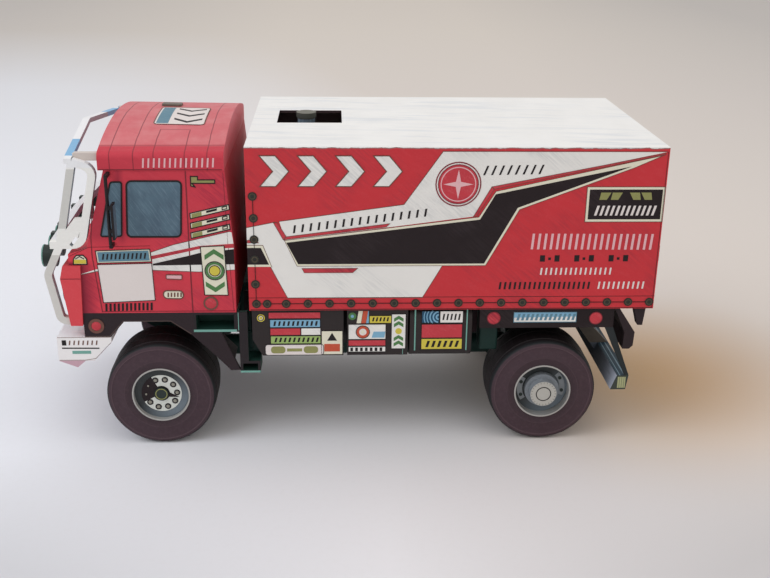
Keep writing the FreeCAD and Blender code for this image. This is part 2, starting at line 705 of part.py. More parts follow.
def spot_lamps():
    lamps = []
    bar = cross_bar()
    bar_low = BAR_NODE_Z - BAR_WIDTH / 2
    for index in range(LAMP_COUNT):
        x = (index - (LAMP_COUNT - 1) / 2) * LAMP_PITCH
        bar_front = CROSS_BAR_FRONT - BAR_CROSS_BOW * (1 - abs(x) / CAB_HALF_WIDTH)
        back = bar_front - LAMP_STANDOFF
        drum = rod(vec(x, back - LAMP_DEPTH, LAMP_Z), vec(x, back, LAMP_Z), LAMP_RADIUS)
        tab = block(
            (x - LAMP_TAB_WIDTH / 2, x + LAMP_TAB_WIDTH / 2),
            (back - LAMP_DEPTH / 4, bar_front + BAR_WIDTH / 2),
            (LAMP_Z + LAMP_TAB_RISE, bar_low + LAMP_TAB_LAP),
        )
        lamps.append(fused([drum, tab]).cut(bar))
    return Part.makeCompound(lamps)


def mirror():
    """Rod on two arms, with the plate that the glass is drawn on held behind it by two clips."""
    foot = vec(MIRROR_ROD_X, MIRROR_STATION, MIRROR_BOTTOM)
    head = vec(MIRROR_ROD_X, MIRROR_STATION, MIRROR_TOP)
    bar = rod(foot, head, MIRROR_ROD_RADIUS)
    across_span = (CAB_HALF_WIDTH - TUMBLEHOME, MIRROR_ROD_X)
    along_span = (MIRROR_STATION - MIRROR_ROD_RADIUS, MIRROR_STATION + MIRROR_ROD_RADIUS)
    upper = block(across_span, along_span, (MIRROR_TOP - 2 * MIRROR_ROD_RADIUS, MIRROR_TOP))
    lower = block(across_span, along_span, (MIRROR_BOTTOM - 2 * MIRROR_ROD_RADIUS, MIRROR_BOTTOM))
    glass_x = MIRROR_ROD_X - MIRROR_GLASS_INSET
    glass_y = MIRROR_STATION + MIRROR_GLASS_SETBACK
    glass_bottom = MIRROR_GLASS_TOP - MIRROR_HEIGHT
    glass = block(
        (glass_x, glass_x + MIRROR_WIDTH),
        (glass_y, glass_y + MIRROR_THICKNESS),
        (glass_bottom, MIRROR_GLASS_TOP),
    )
    clips = []
    for low in (glass_bottom + MIRROR_CLIP_HEIGHT, MIRROR_GLASS_TOP - 2 * MIRROR_CLIP_HEIGHT):
        span = (glass_x, MIRROR_ROD_X + MIRROR_ROD_RADIUS)
        clips.append(block(span, (MIRROR_STATION, glass_y + MIRROR_THICKNESS / 2), (low, low + MIRROR_CLIP_HEIGHT)))
    return fused([bar, upper, lower, glass] + clips).cut(cab_body())


def arch_rear():
    """Edge of the wheel arch from its crest back and down to the leg's foot."""
    return [
        (FRONT_AXLE_STATION + ARCH_CREST_REACH, ARCH_TOP),
        (STEP_FRONT - ARCH_TRAY_GAP, STEP_TRAY_Z - ARCH_TRAY_GAP),
        (FRONT_AXLE_STATION + ARCH_KNEE_REACH, AXLE_HEIGHT + ARCH_KNEE_RISE),
        (POST_FRONT - LEG_FOOT_LENGTH, LEG_FOOT_Z),
    ]


def fender():
    """Side plate under the cab, with the wheel arch and the leg behind the wheel."""
    outer = CAB_HALF_WIDTH
    inner = CAB_HALF_WIDTH - FENDER_THICKNESS
    outline = [
        (FENDER_FRONT, BUMPER_TOP),
        (FENDER_FRONT, CAB_BOTTOM),
        (STEP_FRONT, CAB_BOTTOM),
        (STEP_FRONT, STEP_TRAY_Z),
        (LEG_HEAD_REAR, STEP_TRAY_Z),
        (POST_FRONT, LEG_FOOT_Z),
    ]
    arch = arch_rear()[::-1]
    arch += [(FRONT_AXLE_STATION - ARCH_HEAD_REACH, ARCH_TOP), (BUMPER_REAR, BUMPER_TOP)]
    plate = side_prism(outline + arch, inner, outer)
    corner = side_prism(corner_outline(0), inner - 1, outer + 1)
    return plate.cut(corner)


def mudguard():
    """Folded liner behind the front wheel."""
    outer = CAB_HALF_WIDTH - FENDER_THICKNESS
    inner = outer - LINER_WIDTH
    back = LINER_THICKNESS / 2
    line = [(station + back, height + back) for station, height in arch_rear()]
    sheet = strip(line, inner, outer, LINER_THICKNESS)
    tray_room = block((inner - 1, outer + 1), (STEP_FRONT, POST_FRONT), (STEP_TRAY_Z, CAB_BOTTOM))
    return sheet.cut(tray_room)


def tray(y_low, y_high, z_low, z_high):
    """Open box with its mouth on the outer side."""
    outer = CAB_HALF_WIDTH
    inner = CAB_HALF_WIDTH - STEP_DEPTH
    full = block((inner, outer), (y_low, y_high), (z_low, z_high))
    hollow = block(
        (inner + STEP_LIP, outer + 1),
        (y_low + STEP_LIP, y_high - STEP_LIP),
        (z_low + STEP_LIP, z_high - STEP_LIP),
    )
    return full.cut(hollow)


def step():
    """Two trays joined by the post at the back of the cab."""
    across_span = (CAB_HALF_WIDTH - STEP_DEPTH, CAB_HALF_WIDTH)
    upper = tray(STEP_FRONT, STEP_REAR, STEP_TRAY_Z, CAB_BOTTOM)
    post_span = (CAB_HALF_WIDTH - POST_DEPTH, CAB_HALF_WIDTH)
    post = block(post_span, (POST_FRONT, POST_REAR), (LOWER_TRAY_TOP, CAB_BOTTOM))
    link = block(across_span, (STEP_REAR, POST_FRONT), (STEP_TRAY_Z, CAB_BOTTOM))
    lower = tray(POST_FRONT, LOWER_TRAY_REAR, LOWER_TRAY_BOTTOM, LOWER_TRAY_TOP)
    return fused([upper, link, post, lower])


def chassis_beam():
    return block((-BEAM_HALF_WIDTH, BEAM_HALF_WIDTH), (BEAM_FRONT, BEAM_REAR), (BEAM_BOTTOM, BEAM_TOP))


def backbone_tube():
    start = vec(0, FRONT_AXLE_STATION + DIFF_LENGTH / 2, AXLE_HEIGHT)
    end = vec(0, REAR_AXLE_STATION - DIFF_LENGTH / 2, AXLE_HEIGHT)
    return rod(start, end, TUBE_RADIUS)


def wheel_inner_x():
    return TYRE_FACE_X - TYRE_WIDTH


def hub_inner_x():
    return wheel_inner_x() + RIM_INSET


def axle(station, recess):
    """Differential case with half axles, brake drums and the stubs that the wheels turn on."""
    case = block(
        (-DIFF_WIDTH / 2, DIFF_WIDTH / 2),
        (station - DIFF_LENGTH / 2, station + DIFF_LENGTH / 2),
        (AXLE_HEIGHT - DIFF_HEIGHT / 2, AXLE_HEIGHT + DIFF_HEIGHT / 2),
    )
    long_edges = [edge for edge in case.Edges if abs(edge.Vertexes[0].Y - edge.Vertexes[1].Y) > 1]
    pieces = [case.makeChamfer(DIFF_BEVEL, long_edges)]
    drum_face = hub_inner_x() - WHEEL_SIDE_GAP
    stub_end = TYRE_FACE_X + RIM_PROUD - recess - DISC_THICKNESS
    half = [
        rod(vec(0, station, AXLE_HEIGHT), vec(drum_face, station, AXLE_HEIGHT), HALF_AXLE_RADIUS),
        rod(vec(drum_face - DRUM_WIDTH, station, AXLE_HEIGHT), vec(drum_face, station, AXLE_HEIGHT), DRUM_RADIUS),
        rod(vec(drum_face, station, AXLE_HEIGHT), vec(stub_end, station, AXLE_HEIGHT), STUB_RADIUS),
    ]
    pieces += half
    pieces += [across(piece) for piece in half]
    return fused(pieces)


def arc_edge(start, middle, end):
    return Part.Arc(start, middle, end).toShape()


def spring(station):
    """Bowed leaf stack from the beam down to its saddle on the half axle."""
    low = SPRING_X - SPRING_WIDTH / 2

    def at(y, z):
        return vec(low, station + y, z)

    ends = SPRING_HALF_LENGTH
    lower_mid = BEAM_BOTTOM - SPRING_SAG
    inner_ends = ends - SPRING_LEAF
    edges = [
        arc_edge(at(-ends, BEAM_BOTTOM), at(0, lower_mid), at(ends, BEAM_BOTTOM)),
        Part.LineSegment(at(ends, BEAM_BOTTOM), at(inner_ends, BEAM_BOTTOM)).toShape(),
        arc_edge(at(inner_ends, BEAM_BOTTOM), at(0, lower_mid + SPRING_LEAF), at(-inner_ends, BEAM_BOTTOM)),
        Part.LineSegment(at(-inner_ends, BEAM_BOTTOM), at(-ends, BEAM_BOTTOM)).toShape(),
    ]
    leaf = Part.Face(Part.Wire(edges)).extrude(vec(SPRING_WIDTH, 0, 0))
    saddle = block(
        (low, low + SPRING_WIDTH),
        (station - HALF_AXLE_RADIUS, station + HALF_AXLE_RADIUS),
        (AXLE_HEIGHT + HALF_AXLE_RADIUS, lower_mid + SPRING_LEAF / 2),
    )
    return fused([leaf, saddle])


def springs(station):
    left = spring(station)
    return Part.makeCompound([left, across(left)])


def locker():
    outline = [
        (LOCKER_FRONT, COVER_BOTTOM),
        (LOCKER_FRONT, LOCKER_GUSSET_Z),
        (LOCKER_GUSSET_Y, SIDE_BOX_BOTTOM),
        (LOCKER_REAR, SIDE_BOX_BOTTOM),
        (LOCKER_REAR, COVER_BOTTOM),
    ]
    return side_prism(outline, SIDE_BOX_INNER, SIDE_BOX_OUTER)


def battery_box():
    return block((SIDE_BOX_INNER, SIDE_BOX_OUTER), (BATTERY_FRONT, BATTERY_REAR), (SIDE_BOX_BOTTOM, COVER_BOTTOM))


def fuel_tank():
    bottom = SIDE_BOX_BOTTOM - TANK_DROP
    body = block((SIDE_BOX_INNER, SIDE_BOX_OUTER), (TANK_FRONT, TANK_REAR), (bottom, COVER_BOTTOM))
    outer_edges = []
    for edge in body.Edges:
        ends = edge.Vertexes
        runs_along = abs(ends[0].Y - ends[1].Y) > 1
        if runs_along and ends[0].X > SIDE_BOX_OUTER - 1:
            outer_edges.append(edge)
    return body.makeFillet(TANK_CORNER, outer_edges)


def side_rail():
    return block(
        (SIDE_BOX_OUTER - RAIL_THICKNESS, SIDE_BOX_OUTER),
        (RAIL_FRONT, VALANCE_FRONT),
        (RAIL_BOTTOM, COVER_BOTTOM),
    )


def rear_valance():
    outline = [
        (VALANCE_FRONT, COVER_BOTTOM),
        (VALANCE_FRONT + VALANCE_HEAD_LENGTH, COVER_BOTTOM),
        (VALANCE_KNEE_Y, VALANCE_KNEE_Z),
        (VALANCE_FOOT_Y, VALANCE_BOTTOM + VALANCE_FOOT_BEVEL),
        (VALANCE_FOOT_Y - VALANCE_FOOT_BEVEL, VALANCE_BOTTOM),
        (VALANCE_FOOT_Y - VALANCE_THICKNESS, VALANCE_BOTTOM),
        (VALANCE_KNEE_Y - VALANCE_THICKNESS, VALANCE_KNEE_Z),
    ]
    return side_prism(outline, -SIDE_BOX_OUTER, SIDE_BOX_OUTER)


def tail_tongue():
    outer = COVER_HALF_WIDTH - TONGUE_INSET
    outline = [
        (TONGUE_FRONT, COVER_BOTTOM),
        (TONGUE_FRONT + TONGUE_TAPER_FRONT, TONGUE_BOTTOM),
        (TONGUE_REAR - TONGUE_TAPER_REAR, TONGUE_BOTTOM),
        (TONGUE_REAR, COVER_BOTTOM),
    ]
    return side_prism(outline, outer - TONGUE_WIDTH, outer)


def tail_tongues():
    left = tail_tongue()
    return Part.makeCompound([left, across(left)])


def underrun_bar():
    """Leaning beam across the tail, hung from two struts and from a stay at each end."""
    section = [
        (UNDERRUN_FRONT, UNDERRUN_TOP),
        (UNDERRUN_FRONT - UNDERRUN_LEAN, UNDERRUN_BOTTOM),
        (UNDERRUN_REAR - UNDERRUN_TUCK, UNDERRUN_BOTTOM),
        (UNDERRUN_REAR, UNDERRUN_TOP),
    ]
    beam = side_prism(section, -SIDE_BOX_OUTER, SIDE_BOX_OUTER)
    outline = [
        (STRUT_HEAD + STRUT_DEPTH, BEAM_BOTTOM),
        (STRUT_HEAD, BEAM_BOTTOM),
        (UNDERRUN_FRONT, UNDERRUN_BOTTOM + STRUT_FOOT_RISE),
        (UNDERRUN_FRONT + STRUT_DEPTH, UNDERRUN_TOP),
    ]
    strut = side_prism(outline, BEAM_HALF_WIDTH - STRUT_WIDTH, BEAM_HALF_WIDTH)
    head = UNDERRUN_REAR - STAY_HEAD_GAP
    foot = UNDERRUN_REAR - STAY_FOOT_LENGTH
    slant = [
        (head, RAIL_BOTTOM),
        (foot, UNDERRUN_TOP),
        (UNDERRUN_REAR, UNDERRUN_TOP),
        (head + STAY_HEAD_LENGTH, RAIL_BOTTOM),
    ]
    stay = side_prism(slant, SIDE_BOX_OUTER - CARD, SIDE_BOX_OUTER)
    return fused([beam, strut, across(strut), stay, across(stay)])


def turned(outline, station):
    """Solid of revolution about a wheel's axis from (x, radius) points."""
    corners = [vec(x, station, AXLE_HEIGHT + radius) for x, radius in outline]
    face = Part.Face(Part.makePolygon(corners + corners[:1]))
    return face.revolve(vec(0, station, AXLE_HEIGHT), vec(1, 0, 0), 360)


def facet_ring(x, radius, station):
    """Corners round a wheel's axis, the first of them straight down."""
    corners = []
    for index in range(TYRE_FACETS):
        angle = 2 * math.pi * index / TYRE_FACETS
        corners.append(vec(x, station + radius * math.sin(angle), AXLE_HEIGHT - radius * math.cos(angle)))
    return corners


def facet(corners):
    return Part.Face(Part.makePolygon(corners + corners[:1]))


def tyre(station):
    """Tyre with a faceted tread and a round bore for the rim."""
    inner = wheel_inner_x()
    outer = TYRE_FACE_X
    middle = (inner + outer) / 2
    shoulder = TYRE_RADIUS - TYRE_CROWN_DROP
    edge = shoulder - TYRE_SHOULDER
    outline = [
        (inner, edge),
        (inner + TYRE_SHOULDER, shoulder),
        (middle - TYRE_CROWN_WIDTH / 2, TYRE_RADIUS),
        (middle + TYRE_CROWN_WIDTH / 2, TYRE_RADIUS),
        (outer - TYRE_SHOULDER, shoulder),
        (outer, edge),
    ]
    rings = [facet_ring(x, radius, station) for x, radius in outline]
    faces = [facet(rings[0]), facet(rings[-1])]
    for near, far in zip(rings, rings[1:]):
        for index in range(TYRE_FACETS):
            following = (index + 1) % TYRE_FACETS
            faces.append(facet([near[index], near[following], far[following], far[index]]))
    body = Part.Solid(Part.Shell(faces))
    bore = rod(vec(inner - 1, station, AXLE_HEIGHT), vec(outer + 1, station, AXLE_HEIGHT), RIM_RADIUS)
    return body.cut(bore)


def wheel(station, recess):
    """Rim tube with its disc and the sleeve that runs on the stub."""
    inner = hub_inner_x()
    lip = TYRE_FACE_X + RIM_PROUD
    disc_face = lip - recess
    disc_back = disc_face - DISC_THICKNESS
    bore = STUB_RADIUS + RUNNING_CLEARANCE
    outline = [
        (disc_face, bore),
        (disc_face, RIM_RADIUS - RIM_WALL),
        (lip, RIM_RADIUS - RIM_WALL),
        (lip, RIM_RADIUS),
        (inner, RIM_RADIUS),
        (inner, RIM_RADIUS - RIM_WALL),
        (disc_back, RIM_RADIUS - RIM_WALL),
        (disc_back, HUB_RADIUS),
        (inner, HUB_RADIUS),
        (inner, bore),
    ]
    return turned(outline, station)


def front_hub(station):
    base = TYRE_FACE_X + RIM_PROUD - FRONT_RECESS
    face = base + FRONT_CAP_HEIGHT
    outline = [(base, 0), (base, FRONT_CAP_RADIUS), (face, FRONT_CAP_RADIUS), (face, 0)]
    return turned(outline, station)


def rear_hub(station):
    base = TYRE_FACE_X + RIM_PROUD - REAR_RECESS
    step_x = base + REAR_DRUM_HEIGHT
    end = step_x + REAR_CAP_HEIGHT
    outline = [
        (base, 0),
        (base, REAR_DRUM_RADIUS),
        (step_x, REAR_DRUM_RADIUS),
        (step_x, REAR_CAP_RADIUS),
        (end, REAR_CAP_RADIUS),
        (end, 0),
    ]
    return turned(outline, station)


def save_wheel(side, shape, name):
    save(name, shape if side == "left" else across(shape))


def main():
    os.makedirs("parts", exist_ok=True)
    save("cargo_cover", cargo_cover())
    save("cargo_floor", cargo_floor())
    save("intake_stack", intake_stack())
    save("intake_cap", intake_cap())
    save("cab_shell", cab_shell())
    save("cab_roof", cab_roof())
    save("cab_floor", cab_floor())
    save_pair("corner_box", corner_box())
    save("nose_panel", nose_panel())
    save("front_bumper", front_bumper())
    save("bull_bar", bull_bar())
    save("spot_lamps", spot_lamps())
    save_pair("mirror", mirror())
    save_pair("fender", fender())
    save_pair("mudguard", mudguard())
    save_pair("step", step())
    save("chassis_beam", chassis_beam())
    save("backbone_tube", backbone_tube())
    save("axle_front", axle(FRONT_AXLE_STATION, FRONT_RECESS))
    save("axle_rear", axle(REAR_AXLE_STATION, REAR_RECESS))
    save("springs_front", springs(FRONT_AXLE_STATION))
    save("springs_rear", springs(REAR_AXLE_STATION))
    save_pair("locker", locker())
    save_pair("battery_box", battery_box())
    save_pair("fuel_tank", fuel_tank())
    save_pair("side_rail", side_rail())
    save("rear_valance", rear_valance())
    save("tail_tongues", tail_tongues())
    save("underrun_bar", underrun_bar())
    for side in ("left", "right"):
        save_wheel(side, tyre(FRONT_AXLE_STATION), "tyre_front_" + side)
        save_wheel(side, wheel(FRONT_AXLE_STATION, FRONT_RECESS), "wheel_front_" + side)
        save_wheel(side, front_hub(FRONT_AXLE_STATION), "hub_front_" + side)
        save_wheel(side, tyre(REAR_AXLE_STATION), "tyre_rear_" + side)
        save_wheel(side, wheel(REAR_AXLE_STATION, REAR_RECESS), "wheel_rear_" + side)
        save_wheel(side, rear_hub(REAR_AXLE_STATION), "hub_rear_" + side)


main()
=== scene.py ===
import logging
import math
from dataclasses import dataclass
from enum import Enum
from typing import Callable, Iterable, Sequence

import bmesh
import bpy
from bmesh.types import BMFace, BMVert
from bpy.types import Material, Object
from mathutils import Matrix, Vector


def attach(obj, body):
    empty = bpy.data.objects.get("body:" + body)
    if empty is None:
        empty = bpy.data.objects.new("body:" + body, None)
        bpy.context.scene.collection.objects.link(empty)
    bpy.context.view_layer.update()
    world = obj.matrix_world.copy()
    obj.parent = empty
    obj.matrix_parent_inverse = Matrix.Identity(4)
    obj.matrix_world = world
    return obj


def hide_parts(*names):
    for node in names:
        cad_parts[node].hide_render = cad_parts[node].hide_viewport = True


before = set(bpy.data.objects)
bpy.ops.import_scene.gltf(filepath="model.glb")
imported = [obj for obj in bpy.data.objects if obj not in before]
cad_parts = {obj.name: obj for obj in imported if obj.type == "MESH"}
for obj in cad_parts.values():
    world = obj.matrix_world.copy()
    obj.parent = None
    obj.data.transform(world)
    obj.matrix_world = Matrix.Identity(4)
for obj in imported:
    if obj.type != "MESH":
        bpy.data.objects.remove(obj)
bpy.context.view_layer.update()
LOG = logging.getLogger("card_truck")
MM = 0.001
TRUCK = "truck"
DRAWING_OFFSET = 0.3013  # from the drawing's zero line back to the middle of the length
COVER_HALF = 39.0  # half the width of the cover
CARD_HALF = 38.0  # half the width of the cab, boxes and rails
AXLE_HEIGHT = 16.9
AXLES = {"front": -57.9, "rear": 60.8}
SHIFT = Vector((0.0, DRAWING_OFFSET, 0.0))
Point = tuple[float, float]
Place = tuple[float, float, float]
Colour = tuple[float, float, float, float]
Socket = bpy.types.NodeSocket
Tone = str | Colour | Socket


def ink(code: str) -> Colour:
    """Linear colour of a printed tone.

    Args:
        code: Six hexadecimal digits as seen on screen.

    Returns:
        Red, green, blue and an alpha of one.
    """
    parts = [int(code[i:i + 2], 16) / 255 for i in (0, 2, 4)]
    linear = [p / 12.92 if p <= 0.04045 else ((p + 0.055) / 1.055) ** 2.4 for p in parts]
    return (linear[0], linear[1], linear[2], 1.0)


class Value:
    """A number on a shader socket that takes Python arithmetic."""

    def __init__(self, recipe: "Recipe", socket: Socket) -> None:
        """Keeps the socket and the recipe it belongs to."""
        self.recipe = recipe
        self.socket = socket

    def __add__(self, other: "Value | float") -> "Value":
        """Sum."""
        return self.recipe.math("ADD", self, other)

    def __radd__(self, other: float) -> "Value":
        """Sum with a plain number first."""
        return self.recipe.math("ADD", other, self)

    def __sub__(self, other: "Value | float") -> "Value":
        """Difference."""
        return self.recipe.math("SUBTRACT", self, other)

    def __rsub__(self, other: float) -> "Value":
        """Difference with a plain number first."""
        return self.recipe.math("SUBTRACT", other, self)

    def __mul__(self, other: "Value | float") -> "Value":
        """Product."""
        return self.recipe.math("MULTIPLY", self, other)

    def __rmul__(self, other: float) -> "Value":
        """Product with a plain number first."""
        return self.recipe.math("MULTIPLY", other, self)

    def __abs__(self) -> "Value":
        """Size without sign."""
        return self.recipe.math("ABSOLUTE", self)

    def over(self, edge: float, soft: float = 0.02) -> "Value":
        """Mask that is one where the value lies above an edge.

        Args:
            edge: Where the mask is one half.
            soft: Width of the change from zero to one.

        Returns:
            The mask.
        """
        low, high = edge - soft / 2, edge + soft / 2
        made = self.recipe.node("ShaderNodeMapRange", {"clamp": True},
            {"Value": self, "From Min": low, "From Max": high})
        return Value(self.recipe, made.outputs[0])

    def under(self, edge: float, soft: float = 0.02) -> "Value":
        """Mask that is one where the value lies below an edge."""
        return 1 - self.over(edge, soft)

    def near(self, middle: float, reach: float, soft: float = 0.06) -> "Value":
        """Mask that is one within a reach of a middle value."""
        return abs(self - middle).under(reach, soft)


class Recipe:
    """Node tree of one material, with the few helpers that every finish uses."""

    def __init__(self, name: str) -> None:
        """Starts a material with its shader and output.

        Args:
            name: The material's name.
        """
        self.material = bpy.data.materials.new(name)
        self.material.use_nodes = True
        self.tree = self.material.node_tree
        self.tree.nodes.clear()
        self.shader = self.node("ShaderNodeBsdfPrincipled")
        self.node("ShaderNodeOutputMaterial", {}, {"Surface": self.shader.outputs[0]})
        self.place = self.node("ShaderNodeTexCoord").outputs["Object"]

    def node(self, kind: str, settings: dict | None = None, inputs: dict | None = None) -> bpy.types.Node:
        """Adds one node.

        Args:
            kind: Node type.
            settings: Properties that are set before the sockets.
            inputs: Socket name or index to a value, a socket or a Value.

        Returns:
            The node.
        """
        made = self.tree.nodes.new(kind)
        for key, setting in (settings or {}).items():
            setattr(made, key, setting)
        return self.fill(made, inputs or {})

    def fill(self, node: bpy.types.Node, inputs: dict) -> bpy.types.Node:
        """Links or sets sockets of a node.

        Args:
            node: The node.
            inputs: Socket name or index to a value, a socket or a Value.

        Returns:
            The node.
        """
        for key, given in inputs.items():
            if isinstance(given, Value):
                given = given.socket
            if isinstance(given, Socket):
                self.tree.links.new(given, node.inputs[key])
            else:
                node.inputs[key].default_value = given
        return node

    def math(self, operation: str, *terms: "Value | float") -> Value:
        """Result of a Math node on the given terms."""
        made = self.node("ShaderNodeMath", {"operation": operation}, dict(enumerate(terms)))
        return Value(self, made.outputs[0])

    def axes(self) -> tuple[Value, Value, Value]:
        """The point's x, y and z in millimetres.

        Returns:
            The three lengths.
        """
        split = self.node("ShaderNodeSeparateXYZ", {}, {0: self.place})
        x, y, z = (Value(self, socket) * (1 / MM) for socket in split.outputs)
        return x, y - DRAWING_OFFSET, z

    def facing(self, axis: int) -> Value:
        """How far the surface faces along an axis, from -1 to 1."""
        normal = self.node("ShaderNodeTexCoord").outputs["Normal"]
        return Value(self, self.node("ShaderNodeSeparateXYZ", {}, {0: normal}).outputs[axis])

    def looking_back(self) -> Value:
        """Mask of the faces that look to the rear."""
        return self.facing(1).over(0.6, 0.1)

    def looking_up(self) -> Value:
        """Mask of the faces that look up."""
        return self.facing(2).over(0.6, 0.1)

    def within(self, value: Value, low: float = 0.0, high: float = 1.0) -> Value:
        """A value held between two limits."""
        return self.math("MINIMUM", self.math("MAXIMUM", value, low), high)

    def round_axle(self, axle: Point) -> tuple[Value, Value, Value, Value]:
        """Place round a wheel's axle.

        Args:
            axle: The axle's y and z.

        Returns:
            Steps towards the rear and up, the radius and the angle.
        """
        y, z = self.axes()[1:]
        out_y, out_z = y - axle[0], z - axle[1]
        radius = self.math("SQRT", out_y * out_y + out_z * out_z)
        return out_y, out_z, radius, self.math("ARCTAN2", out_z, out_y)

    def grain(self, size: Place, detail: float = 3.0, turn: Place = (0, 0, 0),
              rough: float = 0.55) -> Value:
        """Noise whose grains have a size.

        Args:
            size: Grain along each axis, in millimetres.
            detail: Octaves of finer noise.
            turn: Rotation of the grain, in radians.
            rough: Share of the finer octaves.

        Returns:
            A value from about 0.3 to 0.7.
        """
        spun = self.node("ShaderNodeMapping", {"vector_type": "POINT"}, {"Vector": self.place, "Rotation": turn})
        scaled = self.node("ShaderNodeMapping", {},
            {"Vector": spun.outputs[0], "Scale": tuple(1 / (s * MM) for s in size)})
        noise = self.node("ShaderNodeTexNoise", {},
            {"Vector": scaled.outputs[0], "Scale": 1.0, "Detail": detail, "Roughness": rough})
        return Value(self, noise.outputs[0])

    def blend(self, share: "Value | float", low: Tone, high: Tone) -> Socket:
        """Colour between two, by a share from 0 to 1.

        Args:
            share: Share of the second colour.
            low: Colour at share 0.
            high: Colour at share 1.

        Returns:
            The colour socket.
        """
        low, high = (ink(tone) if isinstance(tone, str) else tone for tone in (low, high))
        made = self.node("ShaderNodeMix", {"data_type": "RGBA", "clamp_factor": True}, {0: share, 6: low, 7: high})
        return made.outputs[2]

    def relief(self, height: Value, depth: float, strength: float = 1.0) -> Socket:
        """Normal of a surface with that height pattern, depth in millimetres."""
        made = self.node("ShaderNodeBump", {}, {"Height": height, "Distance": depth * MM, "Strength": strength})
        return made.outputs[0]

    def finish(self, colour: Tone, roughness: "Value | float", normal: Socket | None = None,
               coat: float = 0.0, gloss: float = 0.28) -> Material:
        """Sets the shader and gives back the finished material.

        Args:
            colour: The base colour.
            roughness: The roughness.
            normal: The surface's relief.
            coat: Weight of the clear coat.
            gloss: Strength of the plain reflection.

        Returns:
            The material.
        """
        wanted = {"Base Color": colour, "Roughness": roughness, "Specular IOR Level": gloss, "Coat Weight": coat,
            "Coat Roughness": 0.35}
        if normal is not None:
            wanted["Normal"] = normal
        self.fill(self.shader, wanted)
        return self.material


@dataclass(frozen=True)
class PrintedCard:
    """Ink on card: uneven tone, fine fibres and a faint satin face."""

    name: str
    tone: str
    worn: str = ""
    unevenness: float = 0.16
    roughness: float = 0.52
    fibre: float = 0.02
    gloss: float = 0.28

    def paint(self, recipe: Recipe, tone: str = "", worn: str = "") -> Socket:
        """Uneven ink colour.

        Args:
            recipe: The material's node tree.
            tone: Ink tone, or the card's own.
            worn: Tone of the thin places, or a paler ink.

        Returns:
            The colour socket.
        """
        base = ink(tone or self.tone)
        thin = worn or ("" if tone else self.worn)
        pale = ink(thin) if thin else tuple(min(1.0, c * 1.35 + 0.012) for c in base[:3]) + (1.0,)
        deep = tuple(c * 0.74 for c in base[:3]) + (1.0,)
        cloud = recipe.grain((17.0, 13.0, 15.0), 4.0)
        speck = recipe.grain((0.55, 0.5, 0.6), 2.0)
        stroke = recipe.grain((1.1, 5.5, 1.4), 3.0, (0.5, 0.2, 0.0))
        mixed = recipe.blend((cloud - 0.36) * (3.4 * self.unevenness), base, deep)
        lighter = ((speck - 0.5) * 1.5 + (stroke - 0.48) * 1.9) * (1.8 * self.unevenness)
        return recipe.blend(lighter, mixed, pale)

    def crayon(self, recipe: Recipe, colour: Socket, tone: str, strength: float, width: float = 0.5) -> Socket:
        """Slanting crayon strokes that gather in loose patches.

        Args:
            recipe: The material's node tree.
            colour: Colour under the strokes.
            tone: Tone of the strokes.
            strength: How strongly they cover it.
            width: Width of a stroke in millimetres.

        Returns:
            The colour socket.
        """
        patch = recipe.grain((30.0, 22.0, 16.0), 2.0).over(0.53, 0.12)
        strokes = recipe.grain((width * 4, width, width * 14), 3.0, (-0.85, 0.0, 0.0), 0.6).over(0.5, 0.22)
        return recipe.blend(patch * strokes * strength, colour, tone)

    def face(self, recipe: Recipe) -> Socket:
        """Normal with the card's fibres and slight waviness.

        Args:
            recipe: The material's node tree.

        Returns:
            The normal socket.
        """
        fibres = recipe.grain((0.28, 0.9, 0.32), 3.0)
        wave = recipe.grain((14.0, 19.0, 16.0), 1.0)
        return recipe.relief(fibres + wave * 3.0, self.fibre * 2)

    def colour(self, recipe: Recipe) -> Socket:
        """Colour of the whole card.

        Args:
            recipe: The material's node tree.

        Returns:
            The colour socket.
        """
        return self.paint(recipe)

    def material(self) -> Material:
        """The finished material.

        Returns:
            The material.
        """
        recipe = Recipe(self.name)
        sheen = recipe.grain((3.0, 4.0, 3.0), 3.0)
        rough = self.roughness + (sheen - 0.5) * 0.25
        return recipe.finish(self.colour(recipe), rough, self.face(recipe), gloss=self.gloss)


@dataclass(frozen=True)
class CrayonCard(PrintedCard):
    """Printed card with patches of slanting crayon shade."""

    shade: str = "b3b6b8"
    strength: float = 0.4

    def colour(self, recipe: Recipe) -> Socket:
        """Ink with strokes over it."""
        return self.crayon(recipe, self.paint(recipe), self.shade, self.strength)


